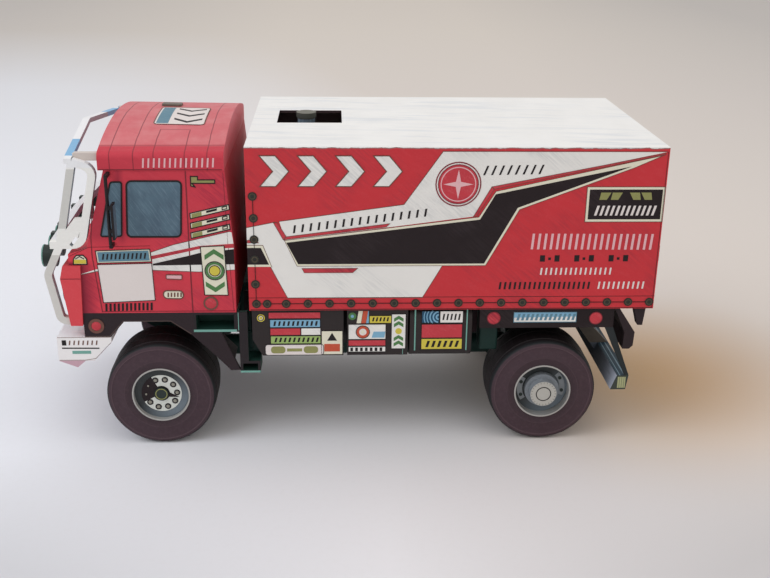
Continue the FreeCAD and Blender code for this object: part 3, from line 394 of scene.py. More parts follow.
@dataclass(frozen=True)
class CoverCard(PrintedCard):
    """Red sides, a white top that wraps a little over them, and a dark inside."""

    top_tone: str = "f2f1ee"
    inside_tone: str = "a48c8e"
    cut_tone: str = "3a2a2c"
    half_width: float = COVER_HALF
    front: float = -29.9
    rear: float = 93.2
    top: float = 94.9
    wrap: float = 0.5

    def colour(self, recipe: Recipe) -> Socket:
        """Colour by place on the cover.

        Args:
            recipe: The material's node tree.

        Returns:
            The colour socket.
        """
        x, y, z = recipe.axes()
        edge = recipe.grain((6.0, 2.6, 6.0), 3.0)
        line = z + (edge - 0.5) * 0.9
        folded = line.over(self.top - self.wrap, 0.1)
        middle = (self.front + self.rear) / 2
        reach = (self.rear - self.front) / 2
        inked = folded * line.under(self.top - self.wrap + 0.22, 0.1) * abs(x).over(self.half_width - 0.2)
        streak = recipe.grain((2.6, 30.0, 2.6), 4.0, (0.0, 0.0, 0.10), 0.6)
        patch = recipe.grain((26.0, 34.0, 30.0), 2.0).over(0.46, 0.2)
        white = self.paint(recipe, self.top_tone, "fafafa")
        top = recipe.blend((streak - 0.52).over(0.03, 0.14) * patch * 0.4, white, "c9d0d8")
        red = self.crayon(recipe, self.paint(recipe), "96303c", 0.36, 0.6)
        sides = recipe.blend(inked, recipe.blend(folded, red, top), "7a4a44")
        within = abs(x).under(self.half_width - 0.4) * abs(y - middle).under(reach - 0.4)
        sides = recipe.blend(within * z.under(self.top - 0.03, 0.02), sides, self.cut_tone)
        return recipe.blend(within * z.under(self.top - 0.78, 0.05), sides, self.paint(recipe, self.inside_tone))


@dataclass(frozen=True)
class CabCard(PrintedCard):
    """Red cab card with painted shade on its sides and painted light on its rear wall."""

    painted_rear_light_tone: str = "e0707a"
    painted_shade_tone: str = "7d1c33"
    corner_end: float = -79.0
    corner_top: float = 59.0

    def colour(self, recipe: Recipe) -> Socket:
        """Colour by the side that a face is on, with painted shade on the sides and painted light on the rear wall.

        Args:
            recipe: The material's node tree.

        Returns:
            The colour socket.
        """
        y, z = recipe.axes()[1:]
        red = self.crayon(recipe, self.paint(recipe), "9c2440", 0.5, 0.5)
        # Painted shadow of the corner box on the cab side, weaker towards the rear and below the box's top.
        corner_shadow_fade = recipe.math("MAXIMUM", 1 - (y - self.corner_end) * (1 / 4.6), 0.0)
        behind = corner_shadow_fade * z.under(self.corner_top + 0.6, 1.6)
        red = recipe.blend(behind * 0.9, red, self.painted_shade_tone)
        # Painted shade on the upper cab side, stronger at the pillar between the windows and towards the front.
        upper = z.over(66.0, 4.0) * z.under(88.0, 0.5)
        red = recipe.blend(upper * (0.22 + y.near(-66.3, 0.9, 1.6) * 0.4 + y.under(-71.0, 4.0) * 0.25), red,
            self.painted_shade_tone)
        # Painted shade low on the rear part of the cab side.
        low = z.under(56.0, 9.0) * y.over(-60.0, 8.0)
        red = recipe.blend(low * 0.16, red, self.painted_shade_tone)
        # Painted light on the rear wall: a tone that grows paler upwards from a darker red at the bottom.
        rear = recipe.blend((z - 60.0) * (1 / 50.0), "b8404c", self.paint(recipe, self.painted_rear_light_tone))
        return recipe.blend(recipe.looking_back(), red, rear)


@dataclass(frozen=True)
class RoofCard(PrintedCard):
    """Roof skin: paler above the fold as a painted sheen, with its drawn joints and hatch and painted light on its
    rear face.
    """

    band_tone: str = "c63a49"
    painted_rear_light_tone: str = "e0808a"
    fold: float = 93.7
    joints: tuple[float, ...] = (-68.4, -61.7, -40.6)
    hatch: Point = (-55.9, -47.0)
    hatch_edge: float = 21.4
    reach: float = 0.15

    def colour(self, recipe: Recipe) -> Socket:
        """Colour by place on the roof, with a painted sheen above the fold and painted light on the rear face.

        Args:
            recipe: The material's node tree.

        Returns:
            The colour socket.
        """
        x, y, z = recipe.axes()
        # Painted sheen above the fold: the card's pale pink tone with paler mottling over it.
        painted_sheen_grain = recipe.grain((9.0, 7.0, 9.0), 3.0)
        top = recipe.blend((painted_sheen_grain - 0.4) * 1.6, self.paint(recipe), "d98d8e")
        colour = recipe.blend(z.over(self.fold, 0.5), self.paint(recipe, self.band_tone), top)
        wobble = (recipe.grain((9.0, 9.0, 9.0), 2.0) - 0.5) * 0.5
        drawn = z.near(self.fold, 0.1, 0.1) * 0.5
        for station in self.joints:
            drawn = drawn + (y + wobble).near(station, self.reach)
        outer = abs(x).over(self.hatch_edge, 0.1)
        for station in self.hatch:
            drawn = drawn + (y + wobble).near(station, self.reach) * outer
        middle = (self.hatch[0] + self.hatch[1]) / 2
        half = (self.hatch[1] - self.hatch[0]) / 2
        drawn = drawn + abs(x).near(self.hatch_edge, self.reach) * y.near(middle, half, 0.1)
        colour = recipe.blend(recipe.math("MINIMUM", drawn, 1.0) * 0.72, colour, "6e2630")
        # Rear-facing faces get a paler tone as painted light.
        return recipe.blend(recipe.looking_back(), colour, self.paint(recipe, self.painted_rear_light_tone))


@dataclass(frozen=True)
class GuardCard(PrintedCard):
    """White bars with blue bands near the ends of the top bar, a post in painted shade, pinkish lower bars, and
    painted shade on the faces that turn back or down.
    """

    band_tone: str = "86b8dd"
    loop_tone: str = "f1f0eb"
    post_shade_tone: str = "d0cfca"
    lower_tone: str = "d3d1cb"
    arm_tone: str = "cfc5be"
    turned_face_shade_tone: str = "93a3ad"
    band_from: float = 20.6
    band_to: float = 35.4
    top_level: float = 89.6
    node: Point = (-84.5, 65.2)
    post_slope: float = 0.222

    def colour(self, recipe: Recipe) -> Socket:
        """Colour by place on the guard, with painted shade on the post and on faces that turn back or down.

        Args:
            recipe: The material's node tree.

        Returns:
            The colour socket.
        """
        x, y, z = recipe.axes()
        smudge = recipe.grain((5.0, 6.0, 9.0), 4.0)
        white = recipe.blend((smudge - 0.45) * 1.3, self.paint(recipe), "d9d7d4")
        across = abs(x)
        loop = across.over(35.7, 0.1)
        leaning = (y - (z - self.node[1]) * self.post_slope).under(self.node[0] + 1.2, 0.1)
        post = loop * leaning * z.over(70.3, 0.2) * z.under(88.0, 0.2)
        lower = loop * z.under(62.2, 0.2)
        white = recipe.blend(loop * z.under(88.4, 0.5), white, self.paint(recipe, self.loop_tone))
        # The leaning post gets a greyer tone as painted shade.
        white = recipe.blend(post, white, self.paint(recipe, self.post_shade_tone))
        white = recipe.blend(lower, white, self.paint(recipe, self.lower_tone))
        arm = across.over(33.4, 0.1) * across.under(35.9, 0.1) * y.over(-78.9, 0.2) * z.over(self.top_level, 0.1)
        white = recipe.blend(arm, white, self.paint(recipe, self.arm_tone))
        # Faces that turn to the rear or down get a blue-grey painted shade.
        turned = recipe.facing(1).over(0.5, 0.3) + recipe.facing(2).under(-0.5, 0.3)
        white = recipe.blend(turned * 0.8, white, self.turned_face_shade_tone)
        band = across.over(self.band_from, 0.1) * across.under(self.band_to, 0.1)
        band = band * z.over(self.top_level, 0.1) * y.under(-78.85, 0.1)
        return recipe.blend(band, white, self.paint(recipe, self.band_tone))


@dataclass(frozen=True)
class BumperCard(PrintedCard):
    """Pinkish white bumper with a top painted brighter as painted light, and a darker lip below."""

    lip_tone: str = "c7a2ae"
    top_tone: str = "f6f7fa"
    lip_level: float = 28.25

    def colour(self, recipe: Recipe) -> Socket:
        """Colour by the side that a face is on, with painted light on the top, and the lip's own below.

        Args:
            recipe: The material's node tree.

        Returns:
            The colour socket.
        """
        level = recipe.axes()[2]
        # Faces that look up get a brighter tone as painted light.
        white = recipe.blend(recipe.looking_up(), self.paint(recipe), self.paint(recipe, self.top_tone))
        return recipe.blend(level.under(self.lip_level, 0.1), white, self.paint(recipe, self.lip_tone))


@dataclass(frozen=True)
class StepCard(PrintedCard):
    """Black step card with dark green insides."""

    inside_tone: str = "1f4038"
    outer_x: float = 37.7

    def colour(self, recipe: Recipe) -> Socket:
        """Black outside, green within."""
        across = abs(recipe.axes()[0])
        return recipe.blend(across.under(self.outer_x, 0.1), self.paint(recipe), self.paint(recipe, self.inside_tone))


@dataclass(frozen=True)
class UnderrunCard(PrintedCard):
    """Bar printed as metal: shaded front, dark striped top, a pale hatched end and darker struts, whose faces towards
    the left side are painted lighter as painted light.
    """

    top_tone: str = "26404f"
    end_tone: str = "a9ad82"
    strut_lit_tone: str = "5d564e"
    stay_tone: str = "23292b"
    half_width: float = 37.9
    top: float = 21.6
    bottom: float = 16.8
    rear: float = 88.0

    def colour(self, recipe: Recipe) -> Socket:
        """Colour by place and by the side that a face is on.

        Args:
            recipe: The material's node tree.

        Returns:
            The colour socket.
        """
        x, y, z = recipe.axes()
        across = abs(x)
        brushed = recipe.grain((9.0, 0.5, 0.5), 3.0)
        front = recipe.blend((across - 10.0) * (1 / 30.0), "48525f", "c3c9d6")
        front = recipe.blend((brushed - 0.5) * 1.2, front, "59606c")
        stripe = y.near(self.rear - 1.1, 0.2) + y.near(self.rear - 2.6, 0.14)
        top = recipe.blend(stripe, self.paint(recipe, self.top_tone), "7f99a6")
        colour = recipe.blend(recipe.looking_up(), front, top)
        inset = y.near(self.rear - 2.0, 1.25) * z.under(self.top - 0.5) * z.over(self.bottom + 0.5)
        hatch = recipe.math("SINE", y * 9.0).over(0.35, 0.5)
        end = recipe.blend(inset, "39403a", self.paint(recipe, self.end_tone))
        end = recipe.blend(hatch * inset * 0.6, end, "555b43")
        colour = recipe.blend(across.over(self.half_width, 0.1), colour, end)
        hung = z.over(self.top + 0.05, 0.1)
        # Strut faces turned towards the left side get a lighter tone as painted light, the other faces a darker tone
        # as painted shade.
        strut = recipe.blend(recipe.facing(0).over(0.5, 0.2), self.paint(recipe, "3a332f"),
            self.paint(recipe, self.strut_lit_tone))
        colour = recipe.blend(hung * across.under(14.0), colour, strut)
        return recipe.blend(hung * across.over(36.0), colour, self.paint(recipe, self.stay_tone))


@dataclass(frozen=True)
class StackCard(PrintedCard):
    """Blue-grey pipe with a paler streak and an olive-grey top."""

    cap_tone: str = "706e64"
    cap_level: float = 96.3

    def colour(self, recipe: Recipe) -> Socket:
        """Pipe and top by level.

        Args:
            recipe: The material's node tree.

        Returns:
            The colour socket.
        """
        pipe = recipe.blend((recipe.grain((0.8, 0.8, 9.0), 3.0) - 0.5) * 2.0, self.paint(recipe), "9aa8b2")
        top = recipe.blend(recipe.facing(2).over(0.5, 0.2), "4a4b45", self.paint(recipe, self.cap_tone))
        return recipe.blend(recipe.axes()[2].over(self.cap_level - 1.9, 0.1), pipe, top)


@dataclass(frozen=True)
class CrayonGlass(PrintedCard):
    """Blue-grey window print, shaded with slanting crayon strokes."""

    light_tone: str = "8fa6b5"
    dark_tone: str = "3f5163"

    def colour(self, recipe: Recipe) -> Socket:
        """Clouds of two blues under pale strokes.

        Args:
            recipe: The material's node tree.

        Returns:
            The colour socket.
        """
        stroke = recipe.grain((1.5, 0.45, 5.5), 4.0, (-0.6, 0.0, 0.0), 0.65)
        cloud = recipe.grain((9.0, 7.0, 9.0), 3.0)
        base = recipe.blend((cloud - 0.38) * 2.6, self.tone, self.dark_tone)
        return recipe.blend((stroke - 0.5) * 1.3, base, self.light_tone)


@dataclass(frozen=True)
class TyreCard(PrintedCard):
    """Dark card tyre: brown-mauve face with a painted highlight on its raised rings and painted shade by the rim,
    blacker tread with a painted teal sheen at its edges.
    """

    axle: Point = (0.0, AXLE_HEIGHT)
    outer_x: float = 39.0
    tread_tone: str = "1b1416"
    sheen_edge_tone: str = "1b2628"

    def material(self) -> Material:
        """Puts the material together.

        Returns:
            The finished material.
        """
        recipe = Recipe(self.name)
        radius, angle = recipe.round_axle(self.axle)[2:]
        across = abs(recipe.axes()[0])
        rub = recipe.grain((0.9, 0.9, 0.9), 4.0)
        face = recipe.blend((rub - 0.47) * 1.2, self.paint(recipe), "574249")
        # Painted highlight along the face's raised rings.
        ring = radius.near(15.2, 0.09, 0.2) + radius.near(11.2, 0.07, 0.2) * 0.5
        face = recipe.blend(ring * 0.4, face, "705a5f")
        shade = radius.under(10.6, 2.6)
        face = recipe.blend(shade * 0.45, face, "2d2226")
        tread = self.paint(recipe, self.tread_tone)
        # Painted teal sheen on both shoulders of the tread.
        edge = across.over(self.outer_x - 1.4, 1.2) + across.under(self.outer_x - 15.6, 1.2)
        tread = recipe.blend(edge * 0.5, tread, self.sheen_edge_tone)
        on_tread = radius.over(16.15, 0.3)
        colour = recipe.blend(on_tread, face, tread)
        bar = recipe.math("SINE", angle * 44.0).over(0.55, 0.3) * across.near(self.outer_x - 8.5, 5.6, 0.4)
        drawn = bar * on_tread
        colour = recipe.blend(drawn * 0.12, colour, "3a3236")
        normal = recipe.relief(recipe.grain((0.4, 0.4, 0.4), 2.0) * 0.4 - drawn * 0.15, 0.1)
        return recipe.finish(colour, 0.6, normal, gloss=self.gloss)


@dataclass(frozen=True)
class RimCard(PrintedCard):
    """Grey rim card: pale cut edge, a wall with painted glints and painted shade, and a dish painted darker towards
    the upper front as painted shade.
    """

    axle: Point = (0.0, AXLE_HEIGHT)
    lip: float = 8.42
    wall_tone: str = "566068"
    dish_tone: str = "2b3031"

    def material(self) -> Material:
        """Puts the material together.

        Returns:
            The finished material.
        """
        recipe = Recipe(self.name)
        out_y, out_z, radius, angle = recipe.round_axle(self.axle)
        brush = recipe.grain((0.5, 3.0, 3.0), 3.0)
        wall = recipe.blend((brush - 0.45) * 1.6, self.paint(recipe, self.wall_tone), "8e989f")
        # Painted glints round the wall.
        glint = recipe.math("SINE", angle * 3.0 + 0.6).over(0.5, 1.0)
        wall = recipe.blend(glint * 0.45, wall, "a4adb3")
        # Painted light and shade across the wheel: lighter towards the lower rear, darker towards the upper front.
        lit = (out_y - out_z) * (1 / 16.0) + 0.15
        dish = recipe.blend(lit, self.paint(recipe, self.dish_tone), "7b8791")
        wall = recipe.blend((1 - lit) * 0.7, wall, "3a4143")
        colour = recipe.blend(radius.over(8.2, 0.2), dish, wall)
        colour = recipe.blend(radius.over(self.lip, 0.08), colour, self.paint(recipe))
        return recipe.finish(colour, 0.42, self.face(recipe), gloss=0.4)


class Finish(Enum):
    """The finishes that the model is made of."""

    COVER = CoverCard("cover card", "c9333b", "cf5056")
    CAB = CabCard("cab card", "d83e4c", "dd5a64")
    # The roof's pale pink tone is its red card with a painted sheen.
    ROOF = RoofCard("roof card", "d2686f", "da8288", 0.2)
    CORNER = PrintedCard("corner box card", "d9474f", "df666c")
    WHITE = CrayonCard("white card", "e9e7e2", "f2f1ee", 0.10)
    PAPER = PrintedCard("plain board", "e3dad6", "ece5e1", 0.10)
    CREAM = PrintedCard("cream print", "e3dfc9", "ece9da", 0.12)
    GUARD = GuardCard("guard card", "f0f1f3", "fbfbfb", 0.08)
    BUMPER = BumperCard("bumper card", "f0edec", "f5f3f2", 0.10)
    BLACK = CrayonCard("black print", "1d1114", "271a1d", 0.14, shade="382e31", strength=0.35)
    LINE = PrintedCard("outline print", "1d181a", "2c2629", 0.12)
    FINE_LINE = PrintedCard("fine outline print", "6d4a40", "80604f", 0.14)
    UNDERRUN = UnderrunCard("underrun card", "7d8494")
    SKIRT = PrintedCard("skirt card", "281c20", "372a2f", 0.14)
    LOCKER = PrintedCard("locker card", "2b2424", "3a3232", 0.14)
    STEP = StepCard("step card", "231c1f", "322a2d", 0.14)
    RED = CrayonCard("red print", "c43c46", "d0646a", 0.34, shade="8b2436", strength=0.7)
    PALE_RED = PrintedCard("pale pink print", "e3b4b8", "edc9cb")
    DARK_RED = PrintedCard("dark red print", "7c2630", "8f3a42")
    GLASS = CrayonGlass("window print", "56707f", gloss=0.4)
    BLUE = PrintedCard("blue print", "5f8698", "7fa3b0")
    DEEP_BLUE = PrintedCard("deep blue print", "24506c", "38667f", 0.2)
    SKY = PrintedCard("sky print", "7fb0cc", "9cc4d8")
    TEAL = PrintedCard("teal print", "74a79b", "93bfb3")
    GREEN = PrintedCard("green print", "9cb76c", "b1c988")
    LEAF = PrintedCard("leaf print", "4f7d4a", "6a9562")
    DARK_GREEN = PrintedCard("dark green card", "12302b", "21443b", 0.16)
    YELLOW = PrintedCard("yellow print", "d2c24a", "dfd273")
    OLIVE = PrintedCard("olive print", "8f8f58", "a6a672")
    ORANGE = PrintedCard("orange print", "c4543a", "d57458")
    GREY = PrintedCard("grey card", "8d9296", "a1a6a9", 0.12)
    STACK = StackCard("stack card", "5f6e7c", "7a8895", 0.14)
    TAUPE = PrintedCard("taupe card", "8e8b80", "a19e92", 0.12)
    STRUT = PrintedCard("strut card", "6b6258", "81776c", 0.14)
    CAP = PrintedCard("cap card", "b5b3ac", "c4c2bd", 0.12)
    PLATE = PrintedCard("bolt plate card", "d3d6cf", "e2e4de", 0.14)
    METAL = PrintedCard("shaded metal print", "7f858b", "a8aeb3", 0.22)
    BROWN = PrintedCard("brown board", "5a4a44", "6d5c55", 0.14)
    LAMP = PrintedCard("lamp card", "1d2a26", "33433c", 0.18, 0.42, gloss=0.4)
    EYELET = PrintedCard("eyelet print", "2a2b26", "45463c", 0.2)
    BRONZE = PrintedCard("bronze print", "4c4335", "655845", 0.18)
    LENS = PrintedCard("lamp face", "dfe3da", "f2f2ec", 0.10, 0.25, gloss=0.5)

    def look(self) -> Material:
        """The finish's material, made once.

        Returns:
            The material.
        """
        if self.name not in _LOOKS:
            _LOOKS[self.name] = self.value.material()
        return _LOOKS[self.name]


_LOOKS: dict[str, Material] = {}


class Slot(Enum):
    """Material slots of the record."""

    COVER = "cover_card"
    CAB = "cab_card"
    WHITE = "white_card"
    BLACK = "black_card"
    GREEN = "green_card"
    LOCKER = "locker_card"
    TYRE = "tyre_card"
    RIM = "rim_card"


@dataclass(frozen=True)
class Face:
    """A flat card face that prints lie on, in millimetres."""

    origin: Place
    along: Place = (0.0, 1.0, 0.0)
    up: Place = (0.0, 0.0, 1.0)

    def normal(self) -> Vector:
        """Direction out of the card."""
        return Vector(self.along).cross(Vector(self.up)).normalized()

    def at(self, along: float, up: float, out: float = 0.0) -> Vector:
        """Point of the face, in metres."""
        place = Vector(self.origin) + Vector(self.along) * along + Vector(self.up) * up + SHIFT
        return (place + self.normal() * out) * MM

    def matrix(self, along: float, up: float, out: float = 0.0) -> Matrix:
        """Frame at a point of the face whose z axis leaves the card.

        Args:
            along: Distance along the card.
            up: Distance up the card.
            out: Distance out of the card.

        Returns:
            The frame.
        """
        columns = (Vector(self.along).normalized(), self.normal().cross(Vector(self.along)).normalized(),
            self.normal())
        turned = Matrix.Identity(3)
        for index, column in enumerate(columns):
            turned.col[index] = column
        return Matrix.Translation(self.at(along, up, out)) @ turned.to_4x4()


ACROSS = (1.0, 0.0, 0.0)
BACKWARDS = (-1.0, 0.0, 0.0)
SINK = 0.03  # depth of a print below the card
LAYER = 0.045  # height of one printed layer above the card
DRAPE_STEP = 2.0  # largest flat stretch of a print on a curved skin
SHARP_ANGLE = math.radians(32)


def box(left: float, foot: float, right: float, head: float) -> list[Point]:
    """Corners of an upright rectangle."""
    return [(left, foot), (right, foot), (right, head), (left, head)]


def chevron(left: float, foot: float, head: float, thick: float, reach: float, middle: float) -> list[Point]:
    """Corners of a chevron that points along the card.

    Args:
        left: Where its open side stands.
        foot: Its lower end.
        head: Its upper end.
        thick: Its thickness along the card.
        reach: How far its point leads.
        middle: Height of its point.

    Returns:
        The six corners.
    """
    return [(left, foot), (left + thick, foot), (left + thick + reach, middle), (left + thick, head), (left, head),
            (left + reach, middle)]


def peak(left: float, right: float, foot: float, rise: float, thick: float) -> list[Point]:
    """Corners of a chevron that points up the card, or down with negative sizes.

    Args:
        left: Its left end.
        right: Its right end.
        foot: Height of its ends.
        rise: How far its inner point rises.
        thick: Its thickness.

    Returns:
        The six corners.
    """
    middle = (left + right) / 2
    return [(left, foot), (middle, foot + rise), (right, foot), (right, foot + thick), (middle, foot + rise + thick),
            (left, foot + thick)]


def raised(corners: Sequence[Point], step: float) -> list[Point]:
    """The same outline, a step higher."""
    return [(u, v + step) for u, v in corners]


class Shape:
    """Mesh of one piece while it is being made on a card face, with sizes in millimetres."""

    def __init__(self, face: Face | None = None) -> None:
        """Starts an empty mesh on a face."""
        self.bm = bmesh.new()
        self.card = face

    def on(self, face: Face) -> "Shape":
        """Goes on with another face."""
        self.card = face
        return self

    def _all(self) -> list:
        """Every vertex, edge and face."""
        return self.bm.verts[:] + self.bm.edges[:] + self.bm.faces[:]

    def _flat(self, corners: Sequence[Point], round_by: float, sink: float) -> BMFace:
        """Lays one flat face a little under the card.

        Args:
            corners: Outline along and up the card.
            round_by: Radius of the corners.
            sink: Depth below the card.

        Returns:
            The new face.
        """
        verts = [self.bm.verts.new(self.card.at(u, v, -sink)) for u, v in corners]
        flat = self.bm.faces.new(verts)
        if round_by:
            bmesh.ops.bevel(self.bm, geom=verts, offset=round_by * MM, offset_type="OFFSET", segments=5, profile=0.5,
                            affect="VERTICES", material=-1)
            flat = next(f for f in self.bm.faces
                        if all(not e.link_faces[1:] for e in f.edges) and len(f.verts) > len(corners))
        return flat

    def _circle(self, middle: Point, radius: float, segments: int) -> BMFace:
        """Lays one round face a little under the card.

        Args:
            middle: Its centre on the card.
            radius: Its radius.
            segments: Straight stretches round it.

        Returns:
            The new face.
        """
        made = bmesh.ops.create_circle(self.bm, cap_ends=True, radius=radius * MM, segments=segments,
                                       matrix=self.card.matrix(*middle, -SINK))
        return made["verts"][0].link_faces[0]

    def _raise(self, faces: Iterable[BMFace], height: float) -> "Shape":
        """Extrudes flat faces out of the card.

        Args:
            faces: The faces.
            height: Thickness of the print.

        Returns:
            The shape itself.
        """
        made = bmesh.ops.extrude_face_region(self.bm, geom=list(faces), use_keep_orig=True)
        moved = [item for item in made["geom"] if isinstance(item, BMVert)]
        bmesh.ops.translate(self.bm, verts=moved, vec=self.card.normal() * height * MM)
        return self

    def _strip(self, flat: BMFace, width: float, height: float, even: bool) -> "Shape":
        """Keeps a strip inside a flat face's edge and extrudes it.

        Args:
            flat: The face, which is used up.
            width: Width of the strip.
            height: Thickness of the strip.
            even: Whether the width is kept at the corners.

        Returns:
            The shape itself.
        """
        flat.normal_update()
        rim = bmesh.ops.inset_individual(self.bm, faces=[flat], thickness=width * MM, use_even_offset=even)
        bmesh.ops.delete(self.bm, geom=[flat], context="FACES_ONLY")
        return self._raise([f for f in rim["faces"] if f.is_valid], height)

    def plate(self, corners: Sequence[Point], lift: float = LAYER, round_by: float = 0.0,
            sink: float = SINK) -> "Shape":
        """Thin closed plate.

        Args:
            corners: Outline along and up the card.
            lift: Height above the card.
            round_by: Radius of the corners.
            sink: Depth below the card.

        Returns:
            The shape itself.
        """
        return self._raise([self._flat(corners, round_by, sink)], lift + sink)

    def frame(self, corners: Sequence[Point], width: float, lift: float = LAYER, round_by: float = 0.0) -> "Shape":
        """Outline strip inside a polygon."""
        return self._strip(self._flat(corners, round_by, SINK), width, lift + SINK, True)

    def disc(self, middle: Point, radius: float, lift: float = LAYER, segments: int = 40) -> "Shape":
        """Round plate."""
        return self._raise([self._circle(middle, radius, segments)], lift + SINK)

    def ring(self, middle: Point, outer: float, inner: float, lift: float = LAYER, segments: int = 40) -> "Shape":
        """Flat ring between two radii."""
        width = (outer - inner) * math.cos(math.pi / segments)
        return self._strip(self._circle(middle, outer, segments), width, lift + SINK, False)

    def line(self, points: Sequence[Point], width: float, lift: float = LAYER) -> "Shape":
        """Drawn line through points.

        Args:
            points: Places along and up the card.
            width: Width of the line.
            lift: Height above the card.

        Returns:
            The shape itself.
        """
        for index, (start, end) in enumerate(zip(points, points[1:])):
            run = Vector((end[0] - start[0], end[1] - start[1])).normalized()
            side = Vector((-run.y, run.x)) * (width / 2)
            a, b = Vector(start) - run * (width / 2), Vector(end) + run * (width / 2)
            corners = [tuple(a - side), tuple(b - side), tuple(b + side), tuple(a + side)]
            self.plate(corners, lift + 0.003 * (index % 2))
        return self

    def drum(self, middle: Point, profile: Sequence[Point], segments: int = 40) -> "Shape":
        """Turned form that stands on the card.

        Args:
            middle: Its axis on the card.
            profile: Pairs of radius and height above the card, from the axis or back to the start.
            segments: Steps round the axis.

        Returns:
            The shape itself.
        """
        stand = self.card.matrix(*middle)
        verts = [self.bm.verts.new(stand @ Vector((r * MM, 0, h * MM))) for r, h in profile]
        edges = [self.bm.edges.new(pair) for pair in zip(verts, verts[1:])]
        if profile[0][0] > 0 and profile[-1][0] > 0:
            edges.append(self.bm.edges.new((verts[-1], verts[0])))
        bmesh.ops.spin(self.bm, geom=verts + edges, cent=stand.translation, axis=self.card.normal(), steps=segments,
                       angle=2 * math.pi, use_merge=True)
        bmesh.ops.remove_doubles(self.bm, verts=self.bm.verts, dist=1e-7)
        return self

    def marks(self, start: Point, count: int, pitch: float, size: Point, slant: float = 0.0, climb: float = 0.0,
              lift: float = LAYER) -> "Shape":
        """Row of equal slanting marks.

        Args:
            start: Lower corner of the first mark.
            count: Number of marks.
            pitch: Step from mark to mark.
            size: Width and height of a mark.
            slant: How far a mark's top leans along the row.
            climb: Rise of the row per step along it.
            lift: Height above the card.

        Returns:
            The shape itself.
        """
        wide, high = size
        tilt = wide * climb
        for index in range(count):
            u, v = start[0] + pitch * index, start[1] + pitch * index * climb
            self.plate([(u, v), (u + wide, v + tilt), (u + wide + slant, v + tilt + high), (u + slant, v + high)],
                lift)
        return self

    def arc(self, middle: Point, radii: Point, angles: Point, lift: float = LAYER, steps: int = 10) -> "Shape":
        """Curved strip between two radii and two angles.

        Args:
            middle: Centre of the arc.
            radii: Inner and outer radius.
            angles: First and last angle in degrees.
            lift: Height above the card.
            steps: Straight stretches along the arc.

        Returns:
            The shape itself.
        """
        turns = [math.radians(angles[0] + (angles[1] - angles[0]) * index / steps) for index in range(steps + 1)]
        inner, outer = ([(middle[0] + radius * math.cos(t), middle[1] + radius * math.sin(t)) for t in turns]
                        for radius in radii)
        return self.plate(inner + outer[::-1], lift)

    def block(self, low: Place, high: Place, bevel: float = 0.25) -> "Shape":
        """Card box between two corners of the drawing, its edges softened.

        Args:
            low: Lowest corner.
            high: Highest corner.
            bevel: Width of the softened edges.

        Returns:
            The shape itself.
        """
        made = bmesh.ops.create_cube(self.bm, size=1.0)
        for vert in made["verts"]:
            place = [low[i] + (high[i] - low[i]) * (vert.co[i] + 0.5) for i in range(3)]
            vert.co = (Vector(place) + SHIFT) * MM
        edges = list({edge for vert in made["verts"] for edge in vert.link_edges})
        bmesh.ops.bevel(self.bm, geom=edges, offset=bevel * MM, offset_type="OFFSET", segments=2, profile=0.5,
                        affect="EDGES", material=-1)
        return self

    def drape(self, height: Callable[[float, float], float]) -> "Shape":
        """Lays flat prints on a curved skin.

        Args:
            height: The skin's height in millimetres at x and y of the drawing.

        Returns:
            The shape itself.
        """
        low = min(vert.co.x for vert in self.bm.verts)
        high = max(vert.co.x for vert in self.bm.verts)
        for index in range(1, int((high - low) / (DRAPE_STEP * MM)) + 1):
            bmesh.ops.bisect_plane(self.bm, geom=self._all(), plane_co=(low + index * DRAPE_STEP * MM, 0, 0),
                                   plane_no=(1, 0, 0))
        for vert in self.bm.verts:
            vert.co.z += height(vert.co.x / MM, vert.co.y / MM - DRAWING_OFFSET) * MM
        return self

    def both_sides(self) -> "Shape":
        """Adds the twin on the other side of the truck.

        Returns:
            The shape itself.
        """
        copied = bmesh.ops.duplicate(self.bm, geom=self._all())["geom"]
        bmesh.ops.scale(self.bm, verts=[item for item in copied if isinstance(item, BMVert)], vec=(-1, 1, 1))
        bmesh.ops.reverse_faces(self.bm, faces=[item for item in copied if isinstance(item, BMFace)])
        return self

    def twin(self, name: str, finish: Finish, slot: Slot) -> Object:
        """Makes one piece of the shape and its twin on the other side."""
        return self.both_sides().piece(name, finish, slot)

    def piece(self, name: str, finish: Finish, slot: Slot, body: str = TRUCK, smooth: bool = False) -> Object:
        """Turns the shape into a scene piece.

        Args:
            name: The piece's name.
            finish: Its material.
            slot: The record's slot; not used.
            body: The body it rides on.
            smooth: Whether its round faces are shaded smooth.

        Returns:
            The new object.
        """
        bmesh.ops.recalc_face_normals(self.bm, faces=self.bm.faces)
        made = enter_mesh(name, self.bm)
        mesh = made.data
        if smooth:
            for polygon in mesh.polygons:
                polygon.use_smooth = True
            mesh.set_sharp_from_angle(angle=SHARP_ANGLE)
        mesh.materials.append(finish.look())
        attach(made, body)
        LOG.info("piece %s: %d faces", name, len(mesh.polygons))
        return made


class LeaningShape(Shape):
    """Print on the cab's side, which leans in above its belt."""

    belt: float = 65.6
    slope: float = 1.0 / 21.9

    def twin(self, name: str, finish: Finish, slot: Slot) -> Object:
        """Bends the print with the card before it is doubled.

        Args:
            name: The piece's name.
            finish: Its material.
            slot: The record's slot, passed on; not used.

        Returns:
            The new object.
        """
        bmesh.ops.bisect_plane(self.bm, geom=self._all(), plane_co=(0, 0, self.belt * MM), plane_no=(0, 0, 1))
        for vert in self.bm.verts:
            rise = vert.co.z - self.belt * MM
            if rise > 0:
                vert.co.x -= self.slope * rise
        return super().twin(name, finish, slot)


def enter_mesh(name: str, bm: bmesh.types.BMesh) -> Object:
    """Puts a finished mesh into the scene.

    Args:
        name: Name of the object and its mesh.
        bm: The mesh, which is used up.

    Returns:
        The new object.
    """
    mesh = bpy.data.meshes.new(name)
    bm.to_mesh(mesh)
    bm.free()
    return enter(name, mesh)


